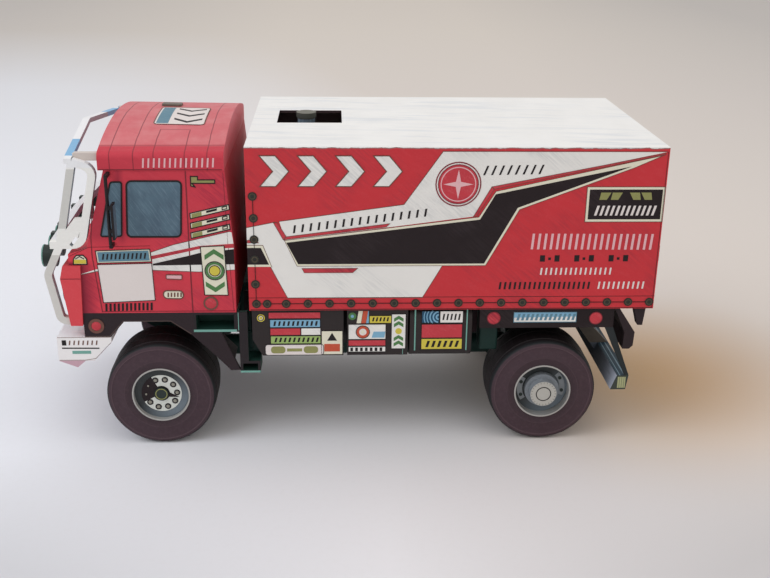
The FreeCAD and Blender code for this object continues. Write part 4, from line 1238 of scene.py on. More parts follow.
def enter(name: str, data: bpy.types.ID) -> Object:
    """Links a new object with that data to the scene.

    Args:
        name: Name of the object.
        data: Its mesh, lamp or camera data.

    Returns:
        The new object.
    """
    made = bpy.data.objects.new(name, data)
    bpy.context.scene.collection.objects.link(made)
    return made


def repaint(node: str, look: Material) -> None:
    """Gives every slot of a solid of the frame a material.

    Args:
        node: Name of the solid.
        look: The material.
    """
    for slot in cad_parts[node].material_slots:
        slot.link = "DATA"
        slot.material = look


def dress(finish: Finish, *nodes: str) -> None:
    """Gives solids of the frame a finish.

    Args:
        finish: Their finish.
        nodes: Names of the solids.
    """
    for name in nodes:
        repaint(name, finish.look())
        LOG.info("solid %s: %s", name, finish.value.name)


@dataclass
class CargoBody:
    """Red cover with its printed flash, eyelets and roof hatch."""

    half_width: float = COVER_HALF
    front: float = -29.9
    rear: float = 93.2
    bottom: float = 44.7
    top: float = 94.9
    hem_level: float = 48.8
    eyelet_level: float = 46.9
    eyelet_radius: float = 1.3
    eyelet_first: float = -18.8
    eyelet_last: float = 91.7
    eyelet_count: int = 18
    emblem: Point = (31.8, 83.9)

    def side(self) -> Face:
        """The left face of the cover."""
        return Face((self.half_width, 0.0, 0.0))

    def back(self) -> Face:
        """The rear face, whose first axis runs to the right."""
        return Face((0.0, self.rear, 0.0), BACKWARDS)

    def flash(self) -> None:
        """The white and black flash with its thin red lines."""
        side, edge = self.side(), self.front
        white = Shape(side).plate([(27.1, 93.5), (92.3, 93.5), (42.2, 82.9), (37.2, 74.2), (-18.6, 66.9),
            (-20.3, 72.6), (16.1, 77.7)])
        white.plate([(edge, 70.7), (-21.6, 72.4), (-18.9, 66.6), (-15.2, 59.0), (27.8, 58.8), (22.2, 48.8),
            (-18.3, 48.8), (-23.2, 58.9), (edge, 58.9)])
        white.twin("cover_flash_white", Finish.WHITE, Slot.WHITE)
        key_main = [(-19.0, 66.9), (38.2, 74.0), (42.9, 81.8), (91.9, 92.7), (83.2, 88.8), (50.2, 76.2), (40.9, 58.8),
            (-15.4, 58.8)]
        key_stub = [(edge, 65.3), (-25.4, 65.3), (-22.9, 58.7), (edge, 58.7)]
        keyline = Shape(side).plate(key_main, LAYER * 2).plate(key_stub, LAYER * 2)
        keyline.twin("cover_flash_keyline", Finish.CREAM, Slot.WHITE)
        black = Shape(side).plate([(-18.4, 66.2), (38.6, 73.2), (42.9, 80.9), (82.2, 89.2), (49.6, 76.8),
            (40.4, 59.5), (-15.0, 59.5)], LAYER * 3)
        black.plate([(edge, 64.6), (-25.9, 64.6), (-23.6, 59.4), (edge, 59.4)], LAYER * 3)
        black.twin("cover_flash_black", Finish.BLACK, Slot.BLACK)
        stripes = (
            [(-22.1, 72.3), (-20.9, 72.5), (-18.3, 68.1), (-19.3, 67.0)],
            [(-19.3, 67.0), (11.0, 70.9), (12.2, 72.1), (-18.3, 68.1)],
            [(36.5, 74.1), (37.7, 74.3), (42.4, 82.4), (41.6, 83.2)],
            [(41.6, 83.2), (42.4, 82.4), (92.2, 92.8), (91.9, 93.2)],
            [(-14.0, 58.2), (2.8, 58.2), (1.2, 56.7), (-13.3, 56.7)],
            [(edge, 67.0), (-27.4, 67.4), (-26.4, 66.1), (edge, 66.1)],
        )
        red, drawn = Shape(side), Shape(side)
        for outline in stripes:
            red.plate(outline, LAYER * 2.5)
            drawn.frame(outline, 0.13, LAYER * 3.2)
        red.twin("cover_flash_red_lines", Finish.RED, Slot.COVER)
        borders = (
            [(edge, 70.8), (-21.6, 72.5)],
            [(-20.4, 72.7), (16.1, 77.8), (27.1, 93.6), (92.4, 93.6)],
            [(-23.3, 58.8), (-18.3, 48.7), (22.2, 48.7), (27.8, 58.6)],
            [(edge, 65.4), (-25.3, 65.4), (-22.8, 58.6)],
        )
        for border in borders:
            drawn.line(border, 0.17, LAYER * 1.6)
        drawn.frame(key_main, 0.13, LAYER * 2.6)
        drawn.twin("cover_flash_drawn_edges", Finish.FINE_LINE, Slot.COVER)

    def chevrons(self) -> None:
        """Four large outlined chevrons at the front of the side."""
        side = self.side()
        fill, rim = Shape(side), Shape(side)
        for index in range(4):
            left = -25.9 + index * 10.9
            outline = chevron(left, 83.1, 92.4, 4.9, 3.9, 87.7)
            fill.plate(outline, LAYER * 2)
            rim.frame(outline, 0.26, LAYER * 3)
        fill.twin("cover_chevrons", Finish.WHITE, Slot.WHITE)
        rim.twin("cover_chevron_outline", Finish.FINE_LINE, Slot.BLACK)

    def badge(self) -> None:
        """Round badge with a plain four-pointed star."""
        side, (u, v) = self.side(), self.emblem
        Shape(side).disc(self.emblem, 5.8, LAYER * 3).twin("cover_disc", Finish.RED, Slot.COVER)
        sheet = Shape(side).ring(self.emblem, 6.7, 6.35, LAYER * 3).ring(self.emblem, 5.95, 5.7, LAYER * 3.6)
        sheet.twin("cover_disc_edge", Finish.DARK_RED, Slot.COVER)
        star = Shape(side).plate([(u - 0.9, v), (u, v - 4.4), (u + 0.9, v), (u, v + 4.4)], LAYER * 4)
        star.plate([(u - 4.4, v), (u, v - 0.9), (u + 4.4, v), (u, v + 0.9)], LAYER * 4.3)
        star.ring(self.emblem, 5.2, 4.9, LAYER * 4)
        star.twin("cover_disc_star", Finish.PALE_RED, Slot.WHITE)

    def boards(self) -> None:
        """Black board and the rows of plain marks."""
        side = self.side()
        Shape(side).plate(box(69.9, 72.5, 93.0, 83.0)).twin("cover_board_edge", Finish.CREAM, Slot.WHITE)
        Shape(side).plate(box(70.6, 73.2, 92.3, 82.3), LAYER * 2).twin("cover_board", Finish.BLACK, Slot.BLACK)
        sheet = Shape(side).frame(box(69.7, 72.3, 93.1, 83.2), 0.2, LAYER * 1.6)
        sheet.twin("cover_board_rim", Finish.FINE_LINE, Slot.BLACK)
        accent = Shape(side)
        for left, turn in ((73.6, 1.0), (77.0, 1.0), (85.9, -1.0), (89.3, -1.0)):
            accent.plate([(left, 79.2), (left + 2.2 * turn, 79.2), (left + 3.4 * turn, 81.4),
                (left + 0.4 * turn, 81.4)], LAYER * 3)
        accent.twin("cover_board_accents", Finish.OLIVE, Slot.GREEN)
        pale = Shape(side).marks((72.4, 74.4), 12, 1.55, (0.72, 3.0), 0.8, lift=LAYER * 3)
        pale.marks((57.5, 55.8), 15, 1.5, (0.5, 2.2), 0.2).marks((75.4, 51.2), 10, 1.5, (0.52, 2.3), 0.25)
        pale.twin("cover_pale_marks", Finish.PAPER, Slot.WHITE)
        tall = Shape(side).marks((54.2, 63.9), 20, 1.88, (0.72, 4.9), 0.35, -0.006)
        tall.twin("cover_tall_marks", Finish.PALE_RED, Slot.WHITE)
        dark = Shape(side)
        for left in (57.2, 67.6, 78.0):
            dark.marks((left, 60.0), 2, 4.4, (1.5, 2.0)).marks((left + 2.5, 60.5), 1, 1.0, (0.8, 0.8))
        dark.marks((45.2, 51.2), 19, 1.5, (0.6, 2.3), 0.25)
        dark.marks((38.9, 86.6), 8, 2.3, (0.6, 2.8), 1.1, 0.02, LAYER * 2)
        dark.marks((-16.4, 69.1), 17, 2.4, (0.62, 2.4), 0.35, 0.13, LAYER * 2)
        dark.twin("cover_dark_marks", Finish.LINE, Slot.BLACK)

    def hem(self) -> None:
        """Stitched hem line, eyelets and the lacing drawn between them."""
        side, back = self.side(), self.back()
        pitch = (self.eyelet_last - self.eyelet_first) / (self.eyelet_count - 1)
        places = [-27.7, -24.5] + [self.eyelet_first + pitch * i for i in range(self.eyelet_count)]
        row = [(place, self.eyelet_level) for place in places]
        column = [(-27.9, 80.3), (-27.8, 73.7), (-27.8, 67.2), (-27.8, 61.0), (-27.8, 53.2), row[0]]
        across = [(-35.0 + 7.0 * index, self.eyelet_level) for index in range(11)]
        washers, rings, lacing = (Shape(side) for _ in range(3))
        for spot in row + column[:-1]:
            washers.disc(spot, self.eyelet_radius, LAYER * 5, 20)
            rings.ring(spot, 0.95, 0.6, LAYER * 6, 16)
        for path in (row, column):
            lacing.line([path[0], path[-1]], 0.16, LAYER * 4)
        lacing.line([(self.front, self.hem_level), (self.rear, self.hem_level)], 0.13)
        lacing.line([(self.front + 0.5, self.bottom + 0.25), (self.rear - 0.5, self.bottom + 0.25)], 0.2)
        lacing.line([(self.rear - 0.45, self.bottom + 0.3), (self.rear - 0.45, self.top - 1.4)], 0.14)
        for part in (washers, rings, lacing):
            part.both_sides().on(back)
        for spot in across:
            washers.disc(spot, self.eyelet_radius, LAYER * 5, 20)
            rings.ring(spot, 0.95, 0.6, LAYER * 6, 16)
        lacing.line([across[0], across[-1]], 0.16, LAYER * 4)
        lacing.line([(-self.half_width + 0.4, self.hem_level), (self.half_width - 0.4, self.hem_level)], 0.13)
        washers.piece("cover_eyelets", Finish.EYELET, Slot.BLACK)
        rings.piece("cover_eyelet_rings", Finish.BRONZE, Slot.BLACK)
        lacing.piece("cover_lacing", Finish.LINE, Slot.BLACK)

    def tail(self) -> None:
        """Rear curtain: two straps, a top seam, edge lines, three chevrons and the end of the flash."""
        back = self.back()
        band = Shape(back).plate(box(-38.9, 70.6, 38.9, 58.9))
        band.piece("tail_band_white", Finish.WHITE, Slot.WHITE)
        Shape(back).plate(box(-38.9, 64.9, 38.9, 60.0), LAYER * 2).piece("tail_band_black", Finish.BLACK, Slot.BLACK)
        fill = Shape(back)
        for index in range(3):
            left = -14.0 + index * 10.4
            fill.plate(chevron(left, 77.2, 86.8, 4.4, 3.8, 82.0))
        fill.piece("tail_chevrons", Finish.WHITE, Slot.WHITE)
        seams = Shape(back).line([(-38.3, 92.6), (38.3, 92.6)], 0.14)
        seams.line([(-24.0, 92.6), (-24.0, 48.8)], 0.14, LAYER * 3)
        seams.line([(24.0, 92.6), (24.0, 48.8)], 0.14, LAYER * 3)
        seams.line([(-38.4, 45.0), (-38.4, 93.8)], 0.14, LAYER * 3)
        seams.line([(38.4, 45.0), (38.4, 93.8)], 0.14, LAYER * 3)
        seams.piece("tail_seams", Finish.DARK_RED, Slot.COVER)

    def build(self) -> None:
        """Makes every piece of the body."""
        dress(Finish.COVER, "cargo_cover")
        dress(Finish.BROWN, "cargo_floor")
        dress(Finish.STACK, "intake_stack", "intake_cap")
        self.flash()
        self.chevrons()
        self.badge()
        self.boards()
        self.hem()
        self.tail()


@dataclass
class CabRoof:
    """Prints and the vent on the curved roof skin."""

    front: float = -71.9
    rear: float = -35.9
    spring: float = 90.9
    crown_front: float = 98.2
    crown_rear: float = 97.4
    reach: float = 35.3
    shoulder: float = 2.0
    half_width: float = 37.3

    def crown(self, x: float, top: float) -> float:
        """Height of one end's arc at a distance from the middle.

        Args:
            x: Distance from the middle.
            top: Height of the arc's top.

        Returns:
            The height, in millimetres.
        """
        rise = top - self.spring
        radius = (self.reach ** 2 + rise ** 2 - self.shoulder ** 2) / (2 * (rise - self.shoulder))
        return top - radius + math.sqrt(radius ** 2 - x ** 2)

    def height(self, x: float, y: float) -> float:
        """Height of the skin at a place of the drawing."""
        share = (y - self.front) / (self.rear - self.front)
        return self.crown(x, self.crown_front) * (1 - share) + self.crown(x, self.crown_rear) * share

    def build(self) -> None:
        """Makes the roof board, vent and side bands."""
        flat = Face((0.0, 0.0, 0.0), ACROSS, (0.0, 1.0, 0.0))
        board = box(-3.2, -58.7, 17.5, -43.3)
        Shape(flat).plate(board, 0.1, 1.4, 0.05).drape(self.height).piece("roof_board", Finish.PAPER, Slot.WHITE)
        sheet = Shape(flat).plate(box(-2.2, -57.9, 16.5, -54.3), 0.14, sink=0.05).drape(self.height)
        sheet.piece("roof_board_header", Finish.BLUE, Slot.WHITE)
        rim = Shape(flat).frame(board, 0.28, 0.16, 1.4)
        rim.drape(self.height).piece("roof_board_rim", Finish.FINE_LINE, Slot.BLACK)
        bars = Shape(flat)
        for index in range(3):
            left = -1.4 + 6.3 * index
            bars.plate(chevron(left, -53.0, -44.5, 1.5, 3.1, -48.8), 0.14, sink=0.05)
        bars.drape(self.height).piece("roof_board_bars", Finish.LINE, Slot.BLACK)
        sheet = Shape(flat).plate(box(-10.4, -59.4, -5.2, -53.2), 0.7, 0.8, 0.2).drape(self.height)
        sheet.piece("roof_vent", Finish.STRUT, Slot.BLACK)
        band = Face((self.half_width, 0.0, 0.0))
        words = Shape(band).marks((-59.2, 88.3), 14, 1.53, (0.5, 2.75), 0.25, 0.006)
        words.twin("roof_band_marks", Finish.PALE_RED, Slot.WHITE)
        gutter = Shape(band).line([(-71.4, 87.75), (-36.6, 87.75)], 0.25)
        gutter.twin("roof_gutter", Finish.DARK_RED, Slot.CAB)


@dataclass
class Cab:
    """Red cab with its printed windows, seams, boards and stripes."""

    half_width: float = CARD_HALF
    rear: float = -33.9
    screen_foot: Place = (0.0, -76.8, 64.1)
    screen_run: Place = (0.0, 6.4, 23.4)
    nose_front: float = -83.2
    lamp_origin: Place = (0.0, -85.2, 55.0)
    lamp_run: Place = (0.0, -1.9, 15.0)
    slat_count: int = 6
    mirror_rear: float = -66.9

    def side(self) -> Face:
        """The left face of the cab, before it leans in."""
        return Face((self.half_width, 0.0, 0.0))

    def windows(self) -> None:
        """Side glass and quarter light with their rubber outlines."""
        side = self.side()
        main = [(-65.0, 67.5), (-48.9, 67.5), (-48.0, 84.6), (-64.2, 84.6)]
        small = [(-72.7, 67.7), (-66.1, 67.7), (-65.1, 84.3), (-68.8, 84.3)]
        sheet = LeaningShape(side).plate(main, LAYER, 1.6).plate(small, LAYER, 0.9)
        sheet.twin("cab_side_glass", Finish.GLASS, Slot.BLACK)
        rubber = LeaningShape(side).frame(main, 0.5, LAYER * 4, 1.6).frame(small, 0.45, LAYER * 4, 0.9)
        rubber.twin("cab_glass_rubber", Finish.LINE, Slot.BLACK)

    def seams(self) -> None:
        """Door outline and panel joints."""
        side = self.side()
        lines = LeaningShape(side).line([(-47.0, 87.0), (-46.9, 43.9)], 0.38)
        lines.line([(-72.9, 86.6), (-75.3, 67.6), (-75.4, 61.8), (-73.8, 44.2)], 0.3)
        lines.line([(-73.6, 44.3), (self.rear - 0.4, 44.3)], 0.16, LAYER * 2)
        lines.line([(-36.3, 86.8), (-35.6, 66.0), (-34.6, 44.4)], 0.14)
        lines.line([(-81.9, 61.9), (-76.2, 64.6), (-58.4, 65.0)], 0.12, LAYER * 1.5)
        lines.twin("cab_seams", Finish.DARK_RED, Slot.CAB)

    def stripes(self) -> None:
        """The white, red and black bands that sweep back from the door board."""
        side, rear = self.side(), self.rear
        upper = [(-58.2, 62.9), (-51.6, 65.2), (-35.0, 69.2), (rear - 0.5, 69.0), (rear, 65.2), (-58.2, 61.9)]
        lower = [(-79.6, 56.1), (-74.3, 57.2), (-58.1, 57.5), (-44.5, 56.9), (rear, 57.5), (rear, 58.9),
            (-57.9, 59.3), (-74.3, 57.8)]
        middle = [(-58.0, 60.8), (-44.2, 63.9), (rear, 64.3), (rear, 58.5), (-58.0, 58.9)]
        white = LeaningShape(side).plate(upper).plate(lower).plate(middle, LAYER * 0.8)
        white.twin("cab_stripe_white", Finish.WHITE, Slot.WHITE)
        red = LeaningShape(side).plate([(-58.0, 61.9), (-44.1, 64.9), (rear, 65.6), (rear, 64.4), (-44.1, 64.0),
            (-58.0, 61.1)], LAYER * 2)
        red.twin("cab_stripe_red", Finish.RED, Slot.CAB)
        black = LeaningShape(side).plate([(-57.9, 59.4), (-46.8, 62.0), (-44.2, 62.7), (rear, 63.9), (rear, 59.2),
            (-57.9, 58.9)], LAYER * 2)
        black.twin("cab_stripe_black", Finish.BLACK, Slot.BLACK)
        edges = LeaningShape(side).line([(-58.2, 63.0), (-51.6, 65.3), (-35.0, 69.3)], 0.15, LAYER * 1.7)
        edges.line([(-79.6, 56.0), (-74.3, 57.1), (-58.1, 57.4), (-44.5, 56.8), (rear, 57.4)], 0.15, LAYER * 1.7)
        edges.twin("cab_stripe_edges", Finish.FINE_LINE, Slot.CAB)

    def boards(self) -> None:
        """Blank number board with a blue header, and the arched label before it."""
        side = self.side()
        board = [(-73.3, 47.1), (-57.8, 47.8), (-58.1, 59.7), (-74.2, 59.3)]
        header = [(-74.1, 59.6), (-58.1, 60.0), (-58.4, 64.1), (-74.4, 63.6)]
        arch = [(-81.2, 59.2), (-76.9, 59.2), (-76.9, 61.1), (-77.9, 62.3), (-80.0, 62.3), (-81.0, 61.1)]
        LeaningShape(side).plate(board, LAYER * 3).twin("cab_number_board", Finish.PAPER, Slot.WHITE)
        cream = LeaningShape(side).plate(header, LAYER * 3).plate(arch, LAYER * 3)
        cream.twin("cab_label_base", Finish.CREAM, Slot.WHITE)
        blue = LeaningShape(side).plate([(-73.6, 60.1), (-58.7, 60.5), (-58.9, 63.6), (-73.8, 63.1)], LAYER * 4)
        blue.twin("cab_board_header", Finish.BLUE, Slot.WHITE)
        yellow = LeaningShape(side).plate(box(-80.8, 59.6, -77.3, 60.8), LAYER * 4)
        yellow.twin("cab_arch_label", Finish.YELLOW, Slot.WHITE)
        rims = LeaningShape(side).frame(board, 0.2, LAYER * 4).frame(header, 0.22, LAYER * 4.2)
        rims.frame(arch, 0.3, LAYER * 4.5)
        rims.marks((-72.9, 44.4), 12, 1.22, (0.62, 2.4), 0.15, 0.02, LAYER * 2)
        rims.marks((-72.6, 60.8), 11, 1.22, (0.5, 1.8), 0.35, 0.022, LAYER * 5)
        rims.line([(-80.2, 61.1), (-79.0, 61.8), (-77.9, 61.1)], 0.25, LAYER * 5)
        rims.twin("cab_board_rims", Finish.LINE, Slot.BLACK)

    def labels(self) -> None:
        """Three slanting labels, a small marker bar and the tall label with a plain motif."""
        side = self.side()
        base, brown, drawn = (LeaningShape(side) for _ in range(3))
        label = [(-46.3, 73.0), (-34.6, 75.8), (-34.8, 77.6), (-46.4, 74.9)]
        patch = [(-45.8, 73.4), (-42.9, 74.1), (-42.9, 75.3), (-45.8, 74.6)]
        bar = [(-41.5, 74.9), (-38.4, 75.65), (-38.4, 76.3), (-41.5, 75.55)]
        window = [(-37.0, 75.7), (-35.4, 76.1), (-35.4, 77.1), (-37.0, 76.7)]
        for step in (0.0, -2.95, -5.9):
            base.plate(raised(label, step), LAYER * 2)
            drawn.frame(raised(label, step), 0.3, LAYER * 3)
            brown.plate(raised(patch, step), LAYER * 3)
            drawn.plate(raised(bar, step), LAYER * 3.5)
            drawn.frame(raised(window, step), 0.25, LAYER * 3.5)
        marker = [(-45.3, 83.7), (-38.7, 83.7), (-38.7, 84.7), (-43.6, 84.7), (-43.6, 85.7), (-45.6, 85.7),
            (-45.6, 82.9), (-44.4, 82.6)]
        brown.plate(marker, LAYER * 2)
        drawn.line(marker + marker[:1], 0.3, LAYER * 3)
        tall = [(-43.2, 49.4), (-36.0, 49.3), (-36.6, 65.1), (-43.8, 64.8)]
        base.plate(tall, LAYER * 4)
        drawn.frame(tall, 0.25, LAYER * 5)
        base.twin("cab_label_cards", Finish.CREAM, Slot.WHITE)
        brown.twin("cab_label_brown", Finish.OLIVE, Slot.GREEN)
        leaf = LeaningShape(side).ring((-39.8, 57.2), 2.7, 2.0, LAYER * 5, 28)
        for foot, turn in ((60.6, 1.0), (53.8, -1.0)):
            leaf.plate(peak(-42.6, -37.0, foot, 1.9 * turn, 1.5 * turn), LAYER * 5)
        leaf.twin("cab_label_green", Finish.LEAF, Slot.GREEN)
        sheet = LeaningShape(side).disc((-39.8, 57.2), 1.5, LAYER * 5.5, 24)
        sheet.twin("cab_label_yellow", Finish.YELLOW, Slot.GREEN)
        drawn.ring((-39.8, 57.2), 3.0, 2.75, LAYER * 6, 28).ring((-39.8, 57.2), 1.75, 1.5, LAYER * 6, 24)
        drawn.twin("cab_label_drawing", Finish.LINE, Slot.BLACK)

    def fittings(self) -> None:
        """Door handle, oval badge and marker lamps."""
        side = self.side()
        handle = [(-54.3, 54.6), (-49.5, 54.4), (-49.4, 56.0), (-54.3, 56.1)]
        LeaningShape(side).plate(handle, LAYER * 4, 0.4).twin("cab_door_handle", Finish.PALE_RED, Slot.CAB)
        rims = LeaningShape(side).frame(handle, 0.22, LAYER * 6, 0.4)
        oval = [(-55.5, 48.3), (-49.3, 48.1), (-49.3, 51.0), (-55.5, 51.1)]
        LeaningShape(side).plate(oval, LAYER * 2, 1.3).twin("cab_oval_badge", Finish.CREAM, Slot.WHITE)
        rims.frame(oval, 0.35, LAYER * 3, 1.3).marks((-54.2, 48.9), 5, 0.95, (0.45, 1.4), 0.1, 0.0, LAYER * 3)
        rims.ring((-41.4, 46.8), 2.2, 1.7, LAYER * 5, 28).ring((-76.0, 39.6), 2.35, 1.5, LAYER * 5, 28)
        rims.twin("cab_fitting_rims", Finish.FINE_LINE, Slot.BLACK)
        lamps = LeaningShape(side).drum((-41.4, 46.8),
            [(0.0, 0.45), (1.0, 0.4), (1.75, 0.15), (1.8, -0.05), (0.0, -0.05)], 28)
        lamps.twin("cab_marker_lamps", Finish.RED, Slot.CAB)

    def screen(self) -> None:
        """Windscreen panes, wipers, grille slats, headlamps and a blank plate."""
        glass_face = Face(self.screen_foot, ACROSS, tuple(Vector(self.screen_run).normalized()))
        panes, rubber, wipers = (Shape(glass_face) for _ in range(3))
        for turn in (-1, 1):
            pane = [(turn * 1.2, 2.6), (turn * 34.6, 2.6), (turn * 34.0, 20.6), (turn * 1.2, 20.6)][::turn]
            panes.plate(pane, LAYER, 1.4)
            rubber.frame(pane, 0.55, LAYER * 4, 1.4)
            wipers.line([(turn * 8.0, 1.0), (turn * 20.0, 10.5)], 0.35, LAYER * 8)
            wipers.line([(turn * 14.0, 6.0), (turn * 25.0, 14.5)], 0.3, LAYER * 7)
        panes.piece("windscreen_panes", Finish.GLASS, Slot.BLACK)
        rubber.piece("windscreen_rubber", Finish.LINE, Slot.BLACK)
        wipers.piece("windscreen_wipers", Finish.LINE, Slot.BLACK)
        nose = Face((0.0, self.nose_front, 0.0), ACROSS)
        slats = Shape(nose)
        for index in range(self.slat_count):
            level = 53.0 + index * 1.15
            slats.plate(box(-26.5, level, 26.5, level + 0.5), 0.35)
        slats.piece("grille_slats", Finish.SKIRT, Slot.BLACK)
        Shape(nose).plate(box(-10.5, 46.2, 10.5, 51.6), 0.2).piece("nose_blank_plate", Finish.PAPER, Slot.WHITE)
        Shape(nose).frame(box(-27.6, 45.4, 27.6, 60.1), 0.5, 0.12).piece("grille_frame", Finish.RED, Slot.CAB)
        lamp_face = Face(self.lamp_origin, ACROSS, tuple(Vector(self.lamp_run).normalized()))
        bowls, lenses = Shape(lamp_face), Shape(lamp_face)
        for place in (-34.2, 34.2):
            bowls.drum((place, -6.2), [(2.6, -0.05), (3.1, -0.05), (3.1, 0.5), (2.85, 0.7), (2.6, 0.5)], 32)
            lenses.drum((place, -6.2), [(0.0, -0.05), (2.6, -0.05), (2.6, 0.3), (1.4, 0.55), (0.0, 0.62)], 32)
        bowls.piece("headlamp_rims", Finish.LINE, Slot.BLACK, smooth=True)
        lenses.piece("headlamp_lenses", Finish.LENS, Slot.WHITE, smooth=True)

    def build(self) -> None:
        """Makes every piece of the cab."""
        dress(Finish.CAB, "cab_shell", "cab_floor")
        dress(Finish.ROOF, "cab_roof")
        dress(Finish.CORNER, "corner_box_left", "corner_box_right")
        # Dark line painted along the corner box's fold as painted crease shade.
        crease = Shape(Face((38.8, 0.0, 0.0))).line([(-85.0, 55.0), (-79.3, 55.0)], 0.2)
        crease.twin("corner_box_creases", Finish.DARK_RED, Slot.CAB)
        dress(Finish.BLACK, "nose_panel")
        dress(Finish.LINE, "mirror_left", "mirror_right")
        self.windows()
        self.seams()
        self.stripes()
        self.boards()
        self.labels()
        self.fittings()
        self.screen()
        rear_view = Face((0.0, self.mirror_rear, 0.0), BACKWARDS)
        glass = Shape(rear_view).plate(box(-44.3, 69.2, -41.3, 78.9))
        glass.twin("mirror_glass", Finish.GLASS, Slot.BLACK)


@dataclass
class FrontEnd:
    """Guard, spot lamps and bumper prints."""

    bumper_front: float = -88.2
    lamp_level: float = 57.7
    lamp_radius: float = 3.35
    lamp_pitch: float = 10.0
    lamp_count: int = 6
    lamp_depth: float = 4.0
    near_lamp_front: float = -93.8
    bow: float = 1.5
    half_width: float = CARD_HALF

    def lamps(self) -> None:
        """Lens, rim and bracket bolts of each spot lamp."""
        lenses, rims, backs = Shape(), Shape(), Shape()
        for index in range(self.lamp_count):
            x = (index - (self.lamp_count - 1) / 2) * self.lamp_pitch
            front = self.near_lamp_front + self.bow * (abs(x) - self.lamp_pitch / 2) / self.half_width
            face = Face((0.0, front, 0.0), ACROSS)
            spot = (x, self.lamp_level)
            r = self.lamp_radius
            rims.on(face)
            rims.drum(spot,
                [(r - 0.55, -0.4), (r + 0.12, -0.4), (r + 0.12, -0.1), (r - 0.1, 0.0), (r - 0.55, -0.15)], 36)
            lenses.on(face).drum(spot, [(0.0, -0.3), (r - 0.55, -0.3), (r - 0.6, -0.15), (1.6, 0.0), (0.0, 0.0)], 36)
            back = Face((0.0, front + self.lamp_depth, 0.0), BACKWARDS)
            backs.on(back).drum((-x, self.lamp_level), [(0.0, -0.02), (1.9, -0.02), (1.5, 0.35), (0.0, 0.5)], 24)
        rims.piece("spot_lamp_rims", Finish.TEAL, Slot.BLACK, smooth=True)
        lenses.piece("spot_lamp_lenses", Finish.LENS, Slot.WHITE, smooth=True)
        backs.piece("spot_lamp_backs", Finish.LINE, Slot.BLACK, smooth=True)

    def bumper(self) -> None:
        """Prints on the bumper's side and front."""
        side = Face((self.half_width, 0.0, 0.0))
        front = Face((0.0, self.bumper_front, 0.0), ACROSS)
        dark = Shape(side).plate(box(-86.8, 33.3, -85.5, 35.0))
        dark.line([(-86.7, 32.4), (-75.9, 32.3)], 0.4)
        dark.both_sides().on(front)
        brown = Shape(side).marks((-84.8, 33.4), 7, 1.35, (0.4, 1.45), 0.25)
        brown.line([(-87.9, 28.4), (-80.1, 28.4), (-77.0, 28.9), (-72.1, 34.1)], 0.14)
        brown.line([(-88.0, 35.9), (-72.1, 35.9)], 0.12)
        brown.twin("bumper_brown_marks", Finish.FINE_LINE, Slot.BLACK)
        dark.line([(-36.8, 32.6), (-12.0, 32.6)], 0.4).line([(12.0, 32.6), (36.8, 32.6)], 0.4)
        dark.frame(box(-10.4, 29.0, 10.4, 34.9), 0.35, LAYER * 2)
        dark.piece("bumper_dark_marks", Finish.LINE, Slot.BLACK)
        green = Shape(side).plate(box(-83.9, 30.5, -78.3, 31.5)).both_sides()
        green.piece("bumper_green_bar", Finish.TEAL, Slot.GREEN)
        fog, rims = Shape(front), Shape(front)
        for place in (-24.0, 24.0):
            fog.drum((place, 30.6), [(0.0, -0.05), (1.6, -0.05), (1.6, 0.1), (0.8, 0.3), (0.0, 0.35)], 28)
            rims.ring((place, 30.6), 2.05, 1.6, 0.25, 28)
        fog.piece("fog_lamp_lenses", Finish.LENS, Slot.WHITE, smooth=True)
        rims.piece("fog_lamp_rims", Finish.LINE, Slot.BLACK)

    def build(self) -> None:
        """Makes every piece of the front."""
        dress(Finish.BUMPER, "front_bumper")
        dress(Finish.GUARD, "bull_bar")
        dress(Finish.LAMP, "spot_lamps")
        self.lamps()
        self.bumper()


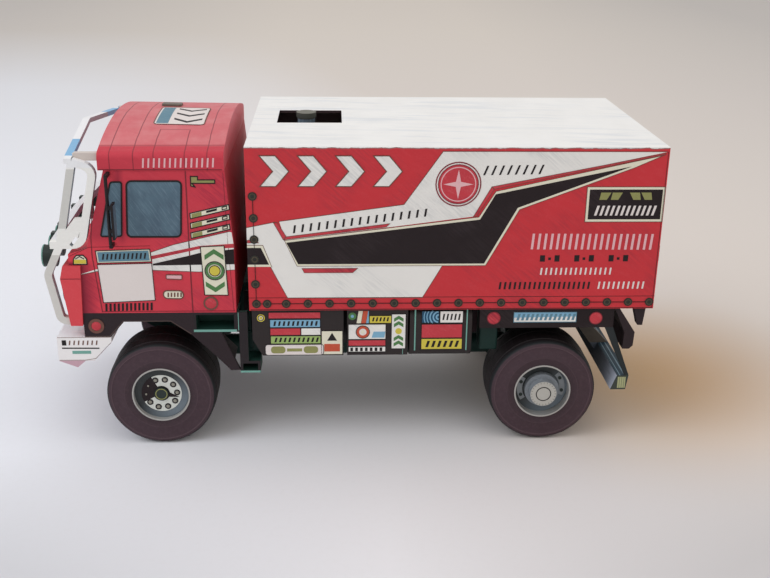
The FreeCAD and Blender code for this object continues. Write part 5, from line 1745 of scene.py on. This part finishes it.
@dataclass
class SideBoxes:
    """Printed locker, battery box and tank between the axles."""

    half_width: float = CARD_HALF

    def side(self) -> Face:
        """The boxes' left face."""
        return Face((self.half_width, 0.0, 0.0))

    def bands(self) -> None:
        """Coloured bands and cards, each with a drawn rim."""
        side = self.side()
        rims = Shape(side)
        cards = (
            ("red", Finish.RED, (-24.4, 41.6, -8.5, 43.8), (-24.0, 36.1, -14.6, 38.6), (-0.2, 32.4, 11.4, 34.5),
             (22.2, 34.9, 34.9, 39.6)),
            ("sky", Finish.SKY, (-24.0, 38.7, -8.6, 41.4)),
            ("blue", Finish.DEEP_BLUE, (22.2, 39.9, 27.7, 43.9)),
            ("white", Finish.WHITE, (-14.6, 36.1, -8.5, 38.6), (-0.2, 34.6, 11.4, 39.7), (-0.2, 30.4, 11.4, 32.3),
             (13.0, 31.4, 17.5, 43.0), (27.8, 39.9, 35.0, 43.9)),
            ("green", Finish.GREEN, (-23.9, 33.3, -8.5, 36.0)),
            ("yellow", Finish.YELLOW, (6.2, 39.9, 13.1, 42.5), (22.2, 31.1, 35.0, 34.8)),
            ("cream", Finish.CREAM, (-8.4, 29.6, -1.8, 37.6)),
        )
        for tone, finish, *spans in cards:
            shape = Shape(side)
            for span in spans:
                shape.plate(box(*span), LAYER * 2)
                rims.frame(box(*span), 0.16, LAYER * 3)
            kind = "cards" if finish is Finish.CREAM else "bands"
            shape.twin(f"box_{tone}_{kind}", finish, Slot.LOCKER)
        strap = box(-25.6, 29.5, -7.6, 33.2)
        Shape(side).plate(strap, LAYER * 3, 0.9).twin("box_strap_card", Finish.PAPER, Slot.LOCKER)
        rims.frame(strap, 0.18, LAYER * 4, 0.9)
        rows = (
            ((-22.9, 39.3), 10, 1.4, (0.6, 1.5), 0.3),
            ((-22.7, 33.9), 10, 1.4, (0.6, 1.5), 0.4),
            ((7.1, 40.6), 5, 1.1, (0.5, 1.3), 0.3),
            ((23.6, 31.9), 6, 1.8, (0.8, 2.1), 0.6),
            ((28.6, 40.9), 5, 1.2, (0.5, 2.0), 0.3),
            ((0.5, 30.7), 7, 1.5, (0.8, 1.2), 0.0),
        )
        for row in rows:
            rims.marks(*row, lift=LAYER * 3)
        rims.twin("box_rims", Finish.LINE, Slot.BLACK)

    def motifs(self) -> None:
        """Plain shapes inside the cards."""
        side = self.side()
        olive = Shape(side).plate(box(-23.8, 30.2, -19.4, 32.5), LAYER * 4, 1.0)
        olive.plate(box(-13.8, 30.2, -9.4, 32.5), LAYER * 4, 1.0).plate(box(-18.9, 30.8, -14.3, 31.8), LAYER * 4)
        olive.twin("box_olive_shapes", Finish.OLIVE, Slot.LOCKER)
        leaf = Shape(side).disc((1.1, 42.3), 1.2, LAYER * 2, 24)
        for foot in (32.2, 34.0, 38.6, 40.4):
            leaf.plate(peak(13.8, 16.7, foot, 0.9, 1.1), LAYER * 3)
        leaf.twin("box_leaf_shapes", Finish.LEAF, Slot.GREEN)
        gold = Shape(side).disc((15.25, 37.3), 1.0, LAYER * 3, 20).ring((-26.6, 41.9), 1.2, 0.95, LAYER * 3, 24)
        gold.drum((-26.6, 41.9), [(0.0, 0.25), (0.4, 0.25), (0.45, 0.1), (0.45, -0.05), (0.0, -0.05)], 24)
        gold.twin("box_yellow_shapes", Finish.YELLOW, Slot.LOCKER)
        red = Shape(side).ring((4.3, 37.1), 1.9, 1.15, LAYER * 4, 28).plate(box(-7.5, 30.7, -2.7, 33.2), LAYER * 3)
        red.plate([(3.8, 40.0), (5.2, 40.0), (5.9, 44.0), (4.4, 44.0)], LAYER * 2)
        red.twin("box_orange_shapes", Finish.ORANGE, Slot.LOCKER)
        pale = Shape(side).plate([(2.4, 40.0), (3.7, 40.0), (4.3, 44.0), (3.0, 44.0)], LAYER * 2)
        pale.ring((-26.6, 41.9), 0.68, 0.45, LAYER * 3, 24)
        pale.disc((4.3, 37.1), 0.6, LAYER * 4, 20)
        pale.twin("box_pale_shapes", Finish.CREAM, Slot.LOCKER)
        blue = Shape(side).plate([(7.0, 35.2), (10.9, 35.2), (11.2, 37.2), (7.6, 37.2)], LAYER * 3)
        blue.disc((1.1, 42.3), 0.5, LAYER * 3, 16)
        for inner, outer, reach in ((0.5, 1.0, 86.0), (1.5, 1.95, 84.0), (2.5, 2.9, 48.0), (3.5, 3.8, 32.0),
                (4.4, 4.65, 25.0)):
            blue.arc((27.5, 41.9), (inner, outer), (180.0 - reach, 180.0 + reach), LAYER * 3)
        blue.plate([(5.3, 40.0), (6.1, 40.0), (6.1, 44.0), (5.9, 44.0)], LAYER * 2)
        blue.twin("box_blue_shapes", Finish.SKY, Slot.LOCKER)
        dark = Shape(side).plate([(-6.6, 34.3), (-3.6, 34.3), (-5.1, 36.9)], LAYER * 3)
        dark.ring((4.3, 37.1), 2.15, 1.95, LAYER * 4.4, 28)
        dark.twin("box_dark_shapes", Finish.LINE, Slot.BLACK)
        strips = Shape(side).line([(20.3, 31.0), (20.3, 44.5)], 0.4, LAYER * 2)
        strips.line([(36.2, 31.0), (36.2, 44.5)], 0.36, LAYER * 2)
        strips.line([(16.6, 29.6), (16.6, 31.2)], 0.16, LAYER * 2)
        strips.twin("box_mint_lines", Finish.TEAL, Slot.GREEN)

    def build(self) -> None:
        """Makes every print, and the dark card wall behind the boxes."""
        dress(Finish.LOCKER, "locker_left", "locker_right", "battery_box_left", "battery_box_right", "fuel_tank_left",
            "fuel_tank_right")
        self.bands()
        self.motifs()
        wall = Shape().block((21.2, -33.0, 26.5), (21.9, 40.2, 44.66), 0.1)
        wall.twin("box_back_walls", Finish.LINE, Slot.BLACK)
        air = Shape().block((26.0, 40.9, 28.8), (33.5, 46.6, 44.66), 0.6)
        air.block((28.2, -31.6, 28.4), (31.4, -29.45, 34.9), 0.9)
        air.block((29.2, -31.0, 34.6), (30.6, -30.1, 44.66), 0.2)
        air.twin("air_tanks", Finish.DARK_GREEN, Slot.GREEN)


@dataclass
class Skirts:
    """Fenders, steps and mudguards."""

    half_width: float = CARD_HALF

    def build(self) -> None:
        """Makes the lips of the trays and the skirt lamps."""
        side = Face((self.half_width, 0.0, 0.0))
        dress(Finish.SKIRT, "fender_left", "fender_right", "mudguard_left", "mudguard_right")
        dress(Finish.STEP, "step_left", "step_right")
        lips = Shape(side).plate(box(-46.9, 37.45, -33.95, 38.2))
        lips.plate(box(-33.3, 23.75, -27.15, 24.4)).line([(-33.4, 38.0), (-33.4, 43.6)], 0.2)
        lips.twin("step_lips", Finish.TEAL, Slot.GREEN)
        lamps = Shape(side).drum((-76.0, 39.6),
            [(0.0, 0.45), (0.9, 0.4), (1.45, 0.15), (1.5, -0.05), (0.0, -0.05)], 28)
        lamps.twin("skirt_lamps", Finish.RED, Slot.CAB)
        edge = Shape(side).line([(-79.5, 36.25), (-72.2, 36.25), (-67.9, 41.1), (-53.7, 41.1), (-47.8, 36.9)], 0.18)
        edge.twin("skirt_edge", Finish.BROWN, Slot.BLACK)


@dataclass
class RearEnd:
    """Rail prints, tail lamps and the underrun bar."""

    half_width: float = CARD_HALF
    tail_foot: Place = (0.0, 88.4, 31.9)
    tail_run: Place = (0.0, 88.6 - 88.4, 36.4 - 31.9)
    lamp_width: float = 3.2

    def build(self) -> None:
        """Makes every piece of the rear."""
        side = Face((self.half_width, 0.0, 0.0))
        dress(Finish.BLACK, "side_rail_left", "side_rail_right")
        dress(Finish.SKIRT, "rear_valance", "tail_tongues")
        dress(Finish.UNDERRUN, "underrun_bar")
        dots, rims = Shape(side), Shape(side)
        for place in ((44.4, 41.4), (76.0, 41.2)):
            dots.drum(place, [(0.0, 0.3), (1.2, 0.28), (1.85, 0.12), (1.9, -0.05), (0.0, -0.05)], 28)
            rims.ring(place, 2.1, 1.85, LAYER * 3, 28)
        dots.twin("rail_reflectors", Finish.RED, Slot.CAB)
        rims.twin("rail_reflector_rims", Finish.DARK_RED, Slot.CAB)
        Shape(side).plate(box(50.5, 39.9, 70.0, 43.3)).twin("rail_strip", Finish.WHITE, Slot.LOCKER)
        sheet = Shape(side).plate([(50.6, 41.5), (69.9, 41.8), (69.9, 43.2), (50.6, 43.2)], LAYER * 1.6)
        sheet.twin("rail_strip_sky", Finish.SKY, Slot.LOCKER)
        bars = Shape(side).marks((51.4, 40.6), 13, 1.42, (0.75, 2.1), 0.5, 0.0, LAYER * 2)
        bars.frame(box(50.5, 39.9, 70.0, 43.3), 0.2, LAYER * 2)
        bars.twin("rail_strip_marks", Finish.BLUE, Slot.GREEN)
        tail = Face(self.tail_foot, BACKWARDS, tuple(Vector(self.tail_run).normalized()))
        for name, finish, places in (("red", Finish.RED, (-31.0, 26.0)), ("amber", Finish.ORANGE, (-35.2, 31.9))):
            lamps = Shape(tail)
            for left in places:
                lamps.plate(box(left, 0.9, left + self.lamp_width, 3.7), 0.35)
            lamps.piece("tail_lamps_" + name, finish, Slot.CAB)
        Shape(tail).plate(box(-8.0, 0.5, 8.0, 4.2), 0.3).piece("tail_blank_plate", Finish.PAPER, Slot.WHITE)


@dataclass
class Chassis:
    """Beam, backbone, axles and springs."""

    def build(self) -> None:
        """Gives the solids their finish."""
        dress(Finish.DARK_GREEN, "chassis_beam", "backbone_tube", "axle_front", "axle_rear", "springs_front",
            "springs_rear")


@dataclass
class Wheel:
    """One road wheel: turned tyre, rim card and hub details."""

    name: str
    body: str
    station: float
    side: int
    front: bool
    outer_x: float = 39.0
    width: float = 17.0
    radius: float = 16.9
    bore: float = 8.9
    lip_x: float = 39.2
    front_dish: float = 1.4
    front_hub_face: float = 0.6
    plate_radius: float = 6.15
    nut_circle: float = 4.75
    nut_count: int = 10
    small_nuts: tuple[int, ...] = (4, 5)
    rear_dish: float = 3.0
    cap_out: float = 4.8
    cap_radius: float = 4.1
    cap_strokes: int = 24
    crescents: tuple[Point, ...] = ((148, 214), (-22, 44))
    bolt_circle: float = 6.7

    def face(self, out: float = 0.0) -> Face:
        """Flat face across the wheel's axis at a distance from the middle."""
        return Face((self.side * out, self.station, AXLE_HEIGHT), (0.0, float(self.side), 0.0))

    def aim(self, degrees: float) -> float:
        """Angle on the wheel's face, counted towards the rear on both sides."""
        return math.radians(degrees if self.side > 0 else 180.0 - degrees)

    def spot(self, radius: float, degrees: float) -> Point:
        """Place on the wheel's face at a radius and an angle."""
        return (radius * math.cos(self.aim(degrees)), radius * math.sin(self.aim(degrees)))

    def tyre(self) -> None:
        """Turned tyre with a raised ring on its face and softened shoulders."""
        wide, r = self.width, self.radius
        profile = [(self.bore, 0.0), (self.bore, wide), (10.9, wide), (11.05, wide + 0.06), (11.35, wide + 0.06),
            (11.5, wide), (14.9, wide), (15.05, wide + 0.1), (15.4, wide + 0.1), (15.55, wide),
            (15.95, wide - 0.05), (16.35, wide - 0.3), (16.6, wide - 0.8), (16.75, wide - 2.4),
            (16.6, wide - 2.55), (16.6, wide - 2.85), (16.8, wide - 3.0), (r, wide - 4.4), (r, 8.75),
            (16.75, 8.65), (16.75, 8.35), (r, 8.25), (r, 4.4), (16.8, 3.0), (16.6, 2.85), (16.6, 2.55),
            (16.75, 2.4), (16.6, 0.8), (16.35, 0.3), (15.95, 0.0)]
        made = Shape(self.face(self.outer_x - wide)).drum((0.0, 0.0), profile, 128)
        tyre = made.piece("tyre_card_" + self.name, Finish.LINE, Slot.TYRE, self.body, True)
        tyre.data.materials[0] = TyreCard("tyre card " + self.name, "423138", "4f3f46",
            axle=(self.station, AXLE_HEIGHT)).material()
        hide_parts("tyre_" + self.name)

    def rim(self) -> None:
        """Rim finish on the frame's own wheel."""
        look = RimCard("rim card " + self.name, "a8a6a2", "c2bfbb", axle=(self.station, AXLE_HEIGHT)).material()
        repaint("wheel_" + self.name, look)

    def front_hub(self) -> None:
        """White bolt plate with ringed nuts, a black wedge and spur as painted shadow, and a hub ring."""
        dish = self.face(self.lip_x - self.front_dish)
        middle = (0.0, 0.0)
        sheet = Shape(dish).disc(middle, self.plate_radius, 0.12, 48)
        sheet.piece("bolt_plate_" + self.name, Finish.PLATE, Slot.RIM, self.body)
        # Black sheets laid where shadow falls on the bolt plate: a painted shadow wedge and a small spur.
        wedge = [middle] + [self.spot(6.2, a) for a in range(118, 210, 10)]
        tip = [self.spot(2.2, 12), self.spot(2.2, -34), self.spot(5.6, -14)]
        shade = Shape(dish).plate(wedge[:: self.side], 0.17).plate(tip[:: self.side], 0.17)
        shade.piece("hub_shade_" + self.name, Finish.BLACK, Slot.BLACK, self.body)
        nuts, rings = Shape(dish), Shape(dish)
        for index in range(self.nut_count):
            place = self.spot(self.nut_circle, 3 + 360 // self.nut_count * index)
            size = 0.3 if index in self.small_nuts else 0.5
            nuts.drum(place, [(0.0, 0.1), (size, 0.1), (size, 0.4), (size * 0.6, 0.48), (0.0, 0.48)], 12)
            if index not in self.small_nuts:
                rings.ring(place, 0.98, 0.58, 0.24, 18)
        nuts.piece("wheel_nuts_" + self.name, Finish.TAUPE, Slot.RIM, self.body)
        rings.piece("nut_rings_" + self.name, Finish.STEP, Slot.BLACK, self.body)
        Shape(dish).disc(middle, 2.5, 0.26, 32).piece("hub_face_" + self.name, Finish.LINE, Slot.BLACK, self.body)
        hub = self.face(self.lip_x - self.front_hub_face)
        Shape(hub).ring(middle, 1.85, 1.6, 0.06, 32).piece("hub_ring_" + self.name, Finish.OLIVE, Slot.RIM, self.body)
        dress(Finish.LAMP, "hub_" + self.name)

    def rear_hub(self) -> None:
        """Pale cap with its ring, a shaded drum and grey crescents with bolts."""
        dish = self.face(self.lip_x - self.rear_dish)
        cap = self.face(self.lip_x - self.rear_dish + self.cap_out)
        middle = (0.0, 0.0)
        dress(Finish.METAL, "hub_" + self.name)
        sheet = Shape(cap).disc(middle, self.cap_radius, 0.06, 48)
        sheet.piece("cap_face_" + self.name, Finish.CAP, Slot.RIM, self.body)
        lines = Shape(cap).ring(middle, 2.4, 2.12, 0.12, 36)
        for index in range(self.cap_strokes):
            turn = 2 * math.pi * index / self.cap_strokes
            lines.line([(r * math.cos(turn), r * math.sin(turn)) for r in (3.55, 3.95)], 0.09, 0.1)
        lines.piece("cap_lines_" + self.name, Finish.LINE, Slot.BLACK, self.body)
        plates, nuts = Shape(dish), Shape(dish)
        for first, last in self.crescents:
            plates.arc(middle, (5.9, 7.6), (math.degrees(self.aim(first)), math.degrees(self.aim(last))), 0.14)
            for angle in (first + 14, last - 14):
                nuts.drum(self.spot(self.bolt_circle, angle),
                    [(0.0, 0.1), (0.55, 0.1), (0.55, 0.4), (0.3, 0.5), (0.0, 0.5)], 12)
        plates.piece("drum_plates_" + self.name, Finish.GREY, Slot.RIM, self.body)
        nuts.piece("wheel_nuts_" + self.name, Finish.LAMP, Slot.RIM, self.body)

    def build(self) -> None:
        """Makes every piece of the wheel."""
        self.tyre()
        self.rim()
        if self.front:
            self.front_hub()
        else:
            self.rear_hub()


@dataclass
class Studio:
    """Floor, backdrop, soft light and the camera."""

    eye: Place = (333.927, -4.451, 162.996)
    aim: Place = (0.0, 0.0, 0.05)
    yaw: float = 0.0519
    pitch: float = 0.3611
    roll: float = 0.0135
    lens: float = 49.12
    film: float = 36.0
    near: float = 0.01
    far: float = 20.0
    floor_size: float = 4.0
    sky_tone: str = "f5f3f2"
    sky_strength: float = 0.79
    lamps: tuple[tuple[str, Place, float, float, str], ...] = (
        ("window_light", (0.5, -0.95, 0.95), 0.9, 6.1, "eff5ff"),
        ("room_light", (1.0, 0.9, 1.2), 1.6, 2.3, "ffeedb"),
        ("ceiling_light", (-0.25, 0.05, 1.6), 1.2, 2.0, "ffffff"))

    def floor(self) -> None:
        """Pale paper floor with painted light and shade: cooler and lighter towards the window, a painted tan shadow
        behind the truck, and painted shade in the near corners and at the front and rear ends.
        """
        bm = bmesh.new()
        bmesh.ops.create_grid(bm, x_segments=2, y_segments=2, size=self.floor_size)
        made = enter_mesh("studio_floor", bm)
        recipe = Recipe("studio paper")
        x, y = recipe.axes()[:2]
        tooth = recipe.grain((2.0, 2.0, 2.0), 3.0)
        # Painted light from the window: the floor is cooler and lighter towards the front and the near side.
        along = (y + 130.0 - x * 0.25) * (1 / 300.0)
        paper = recipe.blend(along, "f3f6fd", "ded6cf")
        # Painted tan shadow on the floor behind the truck's rear.
        warm_y, warm_x = (y - 109.0) * (1 / 88.0), (x + 8.0) * (1 / 98.0)
        tan_shadow = recipe.math("MAXIMUM", 1 - recipe.math("SQRT", warm_y * warm_y + warm_x * warm_x), 0.0)
        paper = recipe.blend(tan_shadow * tan_shadow * (3 - tan_shadow * 2) * 0.92, paper, "c8a67c")
        # Painted shade in the floor's near corners.
        corner = recipe.math("MAXIMUM", x - 45.0, 0.0) * abs(y - 10.0) * (1 / 6300.0)
        paper = recipe.blend(recipe.math("MINIMUM", corner * 0.55, 0.5), paper, "b4b4b6")
        paper = recipe.blend((0.0 - x - 600.0) * (1 / 400.0), paper, "e0d8cf")
        # Painted shade towards the floor's front and rear ends.
        sides = (abs(y - 60.0) - 120.0) * (1 / 400.0)
        paper = recipe.blend(recipe.within(sides) * 0.6, paper, "bcb9b8")
        made.data.materials.append(recipe.finish(recipe.blend((tooth - 0.5) * 0.2, paper, "cdc8c4"), 0.85))

    def lamp(self, name: str, spot: Place, size: float, power: float, tone: str) -> None:
        """Adds a soft square lamp aimed at the truck.

        Args:
            name: Its name.
            spot: Its place in metres.
            size: Its side in metres.
            power: Its power in watts.
            tone: Its colour as seen on screen.
        """
        data = bpy.data.lights.new(name, "AREA")
        data.size = size
        data.energy = power
        data.color = ink(tone)[:3]
        made = enter(name, data)
        made.location = spot
        made.rotation_euler = (Vector(self.aim) - Vector(spot)).to_track_quat("-Z", "Y").to_euler()

    def light(self) -> None:
        """Even sky with a soft window light from the front left and a fill from above."""
        world = bpy.data.worlds.new("studio")
        world.use_nodes = True
        sky = world.node_tree.nodes["Background"]
        sky.inputs[0].default_value = ink(self.sky_tone)
        sky.inputs[1].default_value = self.sky_strength
        bpy.context.scene.world = world
        for row in self.lamps:
            self.lamp(*row)

    def camera(self) -> None:
        """Camera at the photograph's place and angle."""
        flat = math.cos(self.pitch)
        forward = Vector((-flat * math.cos(self.yaw), flat * math.sin(self.yaw), -math.sin(self.pitch)))
        level = forward.cross(Vector((0, 0, 1))).normalized()
        upright = level.cross(forward)
        right = level * math.cos(self.roll) + upright * math.sin(self.roll)
        above = upright * math.cos(self.roll) - level * math.sin(self.roll)
        turned = Matrix((right, above, -forward)).transposed()
        data = bpy.data.cameras.new("camera")
        data.lens = self.lens
        data.sensor_width = self.film
        data.sensor_fit = "HORIZONTAL"
        data.clip_start = self.near
        data.clip_end = self.far
        made = enter("camera", data)
        made.matrix_world = Matrix.Translation((Vector(self.eye) + SHIFT) * MM) @ turned.to_4x4()
        bpy.context.scene.camera = made

    def build(self) -> None:
        """Sets the stage."""
        bpy.context.scene.view_settings.view_transform = "Standard"
        self.camera()
        self.light()
        self.floor()


def main() -> None:
    """Builds the truck's looks round the frame."""
    logging.basicConfig(level=logging.INFO, format="%(message)s")
    for part in (Studio(), CargoBody(), CabRoof(), Cab(), FrontEnd(), SideBoxes(), Skirts(), RearEnd(), Chassis()):
        part.build()
    for end, station in AXLES.items():
        for name, side in (("left", 1), ("right", -1)):
            Wheel(f"{end}_{name}", f"{end}_{name}_wheel", station, side, end == "front").build()
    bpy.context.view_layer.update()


if __name__ == "__main__":
    main()
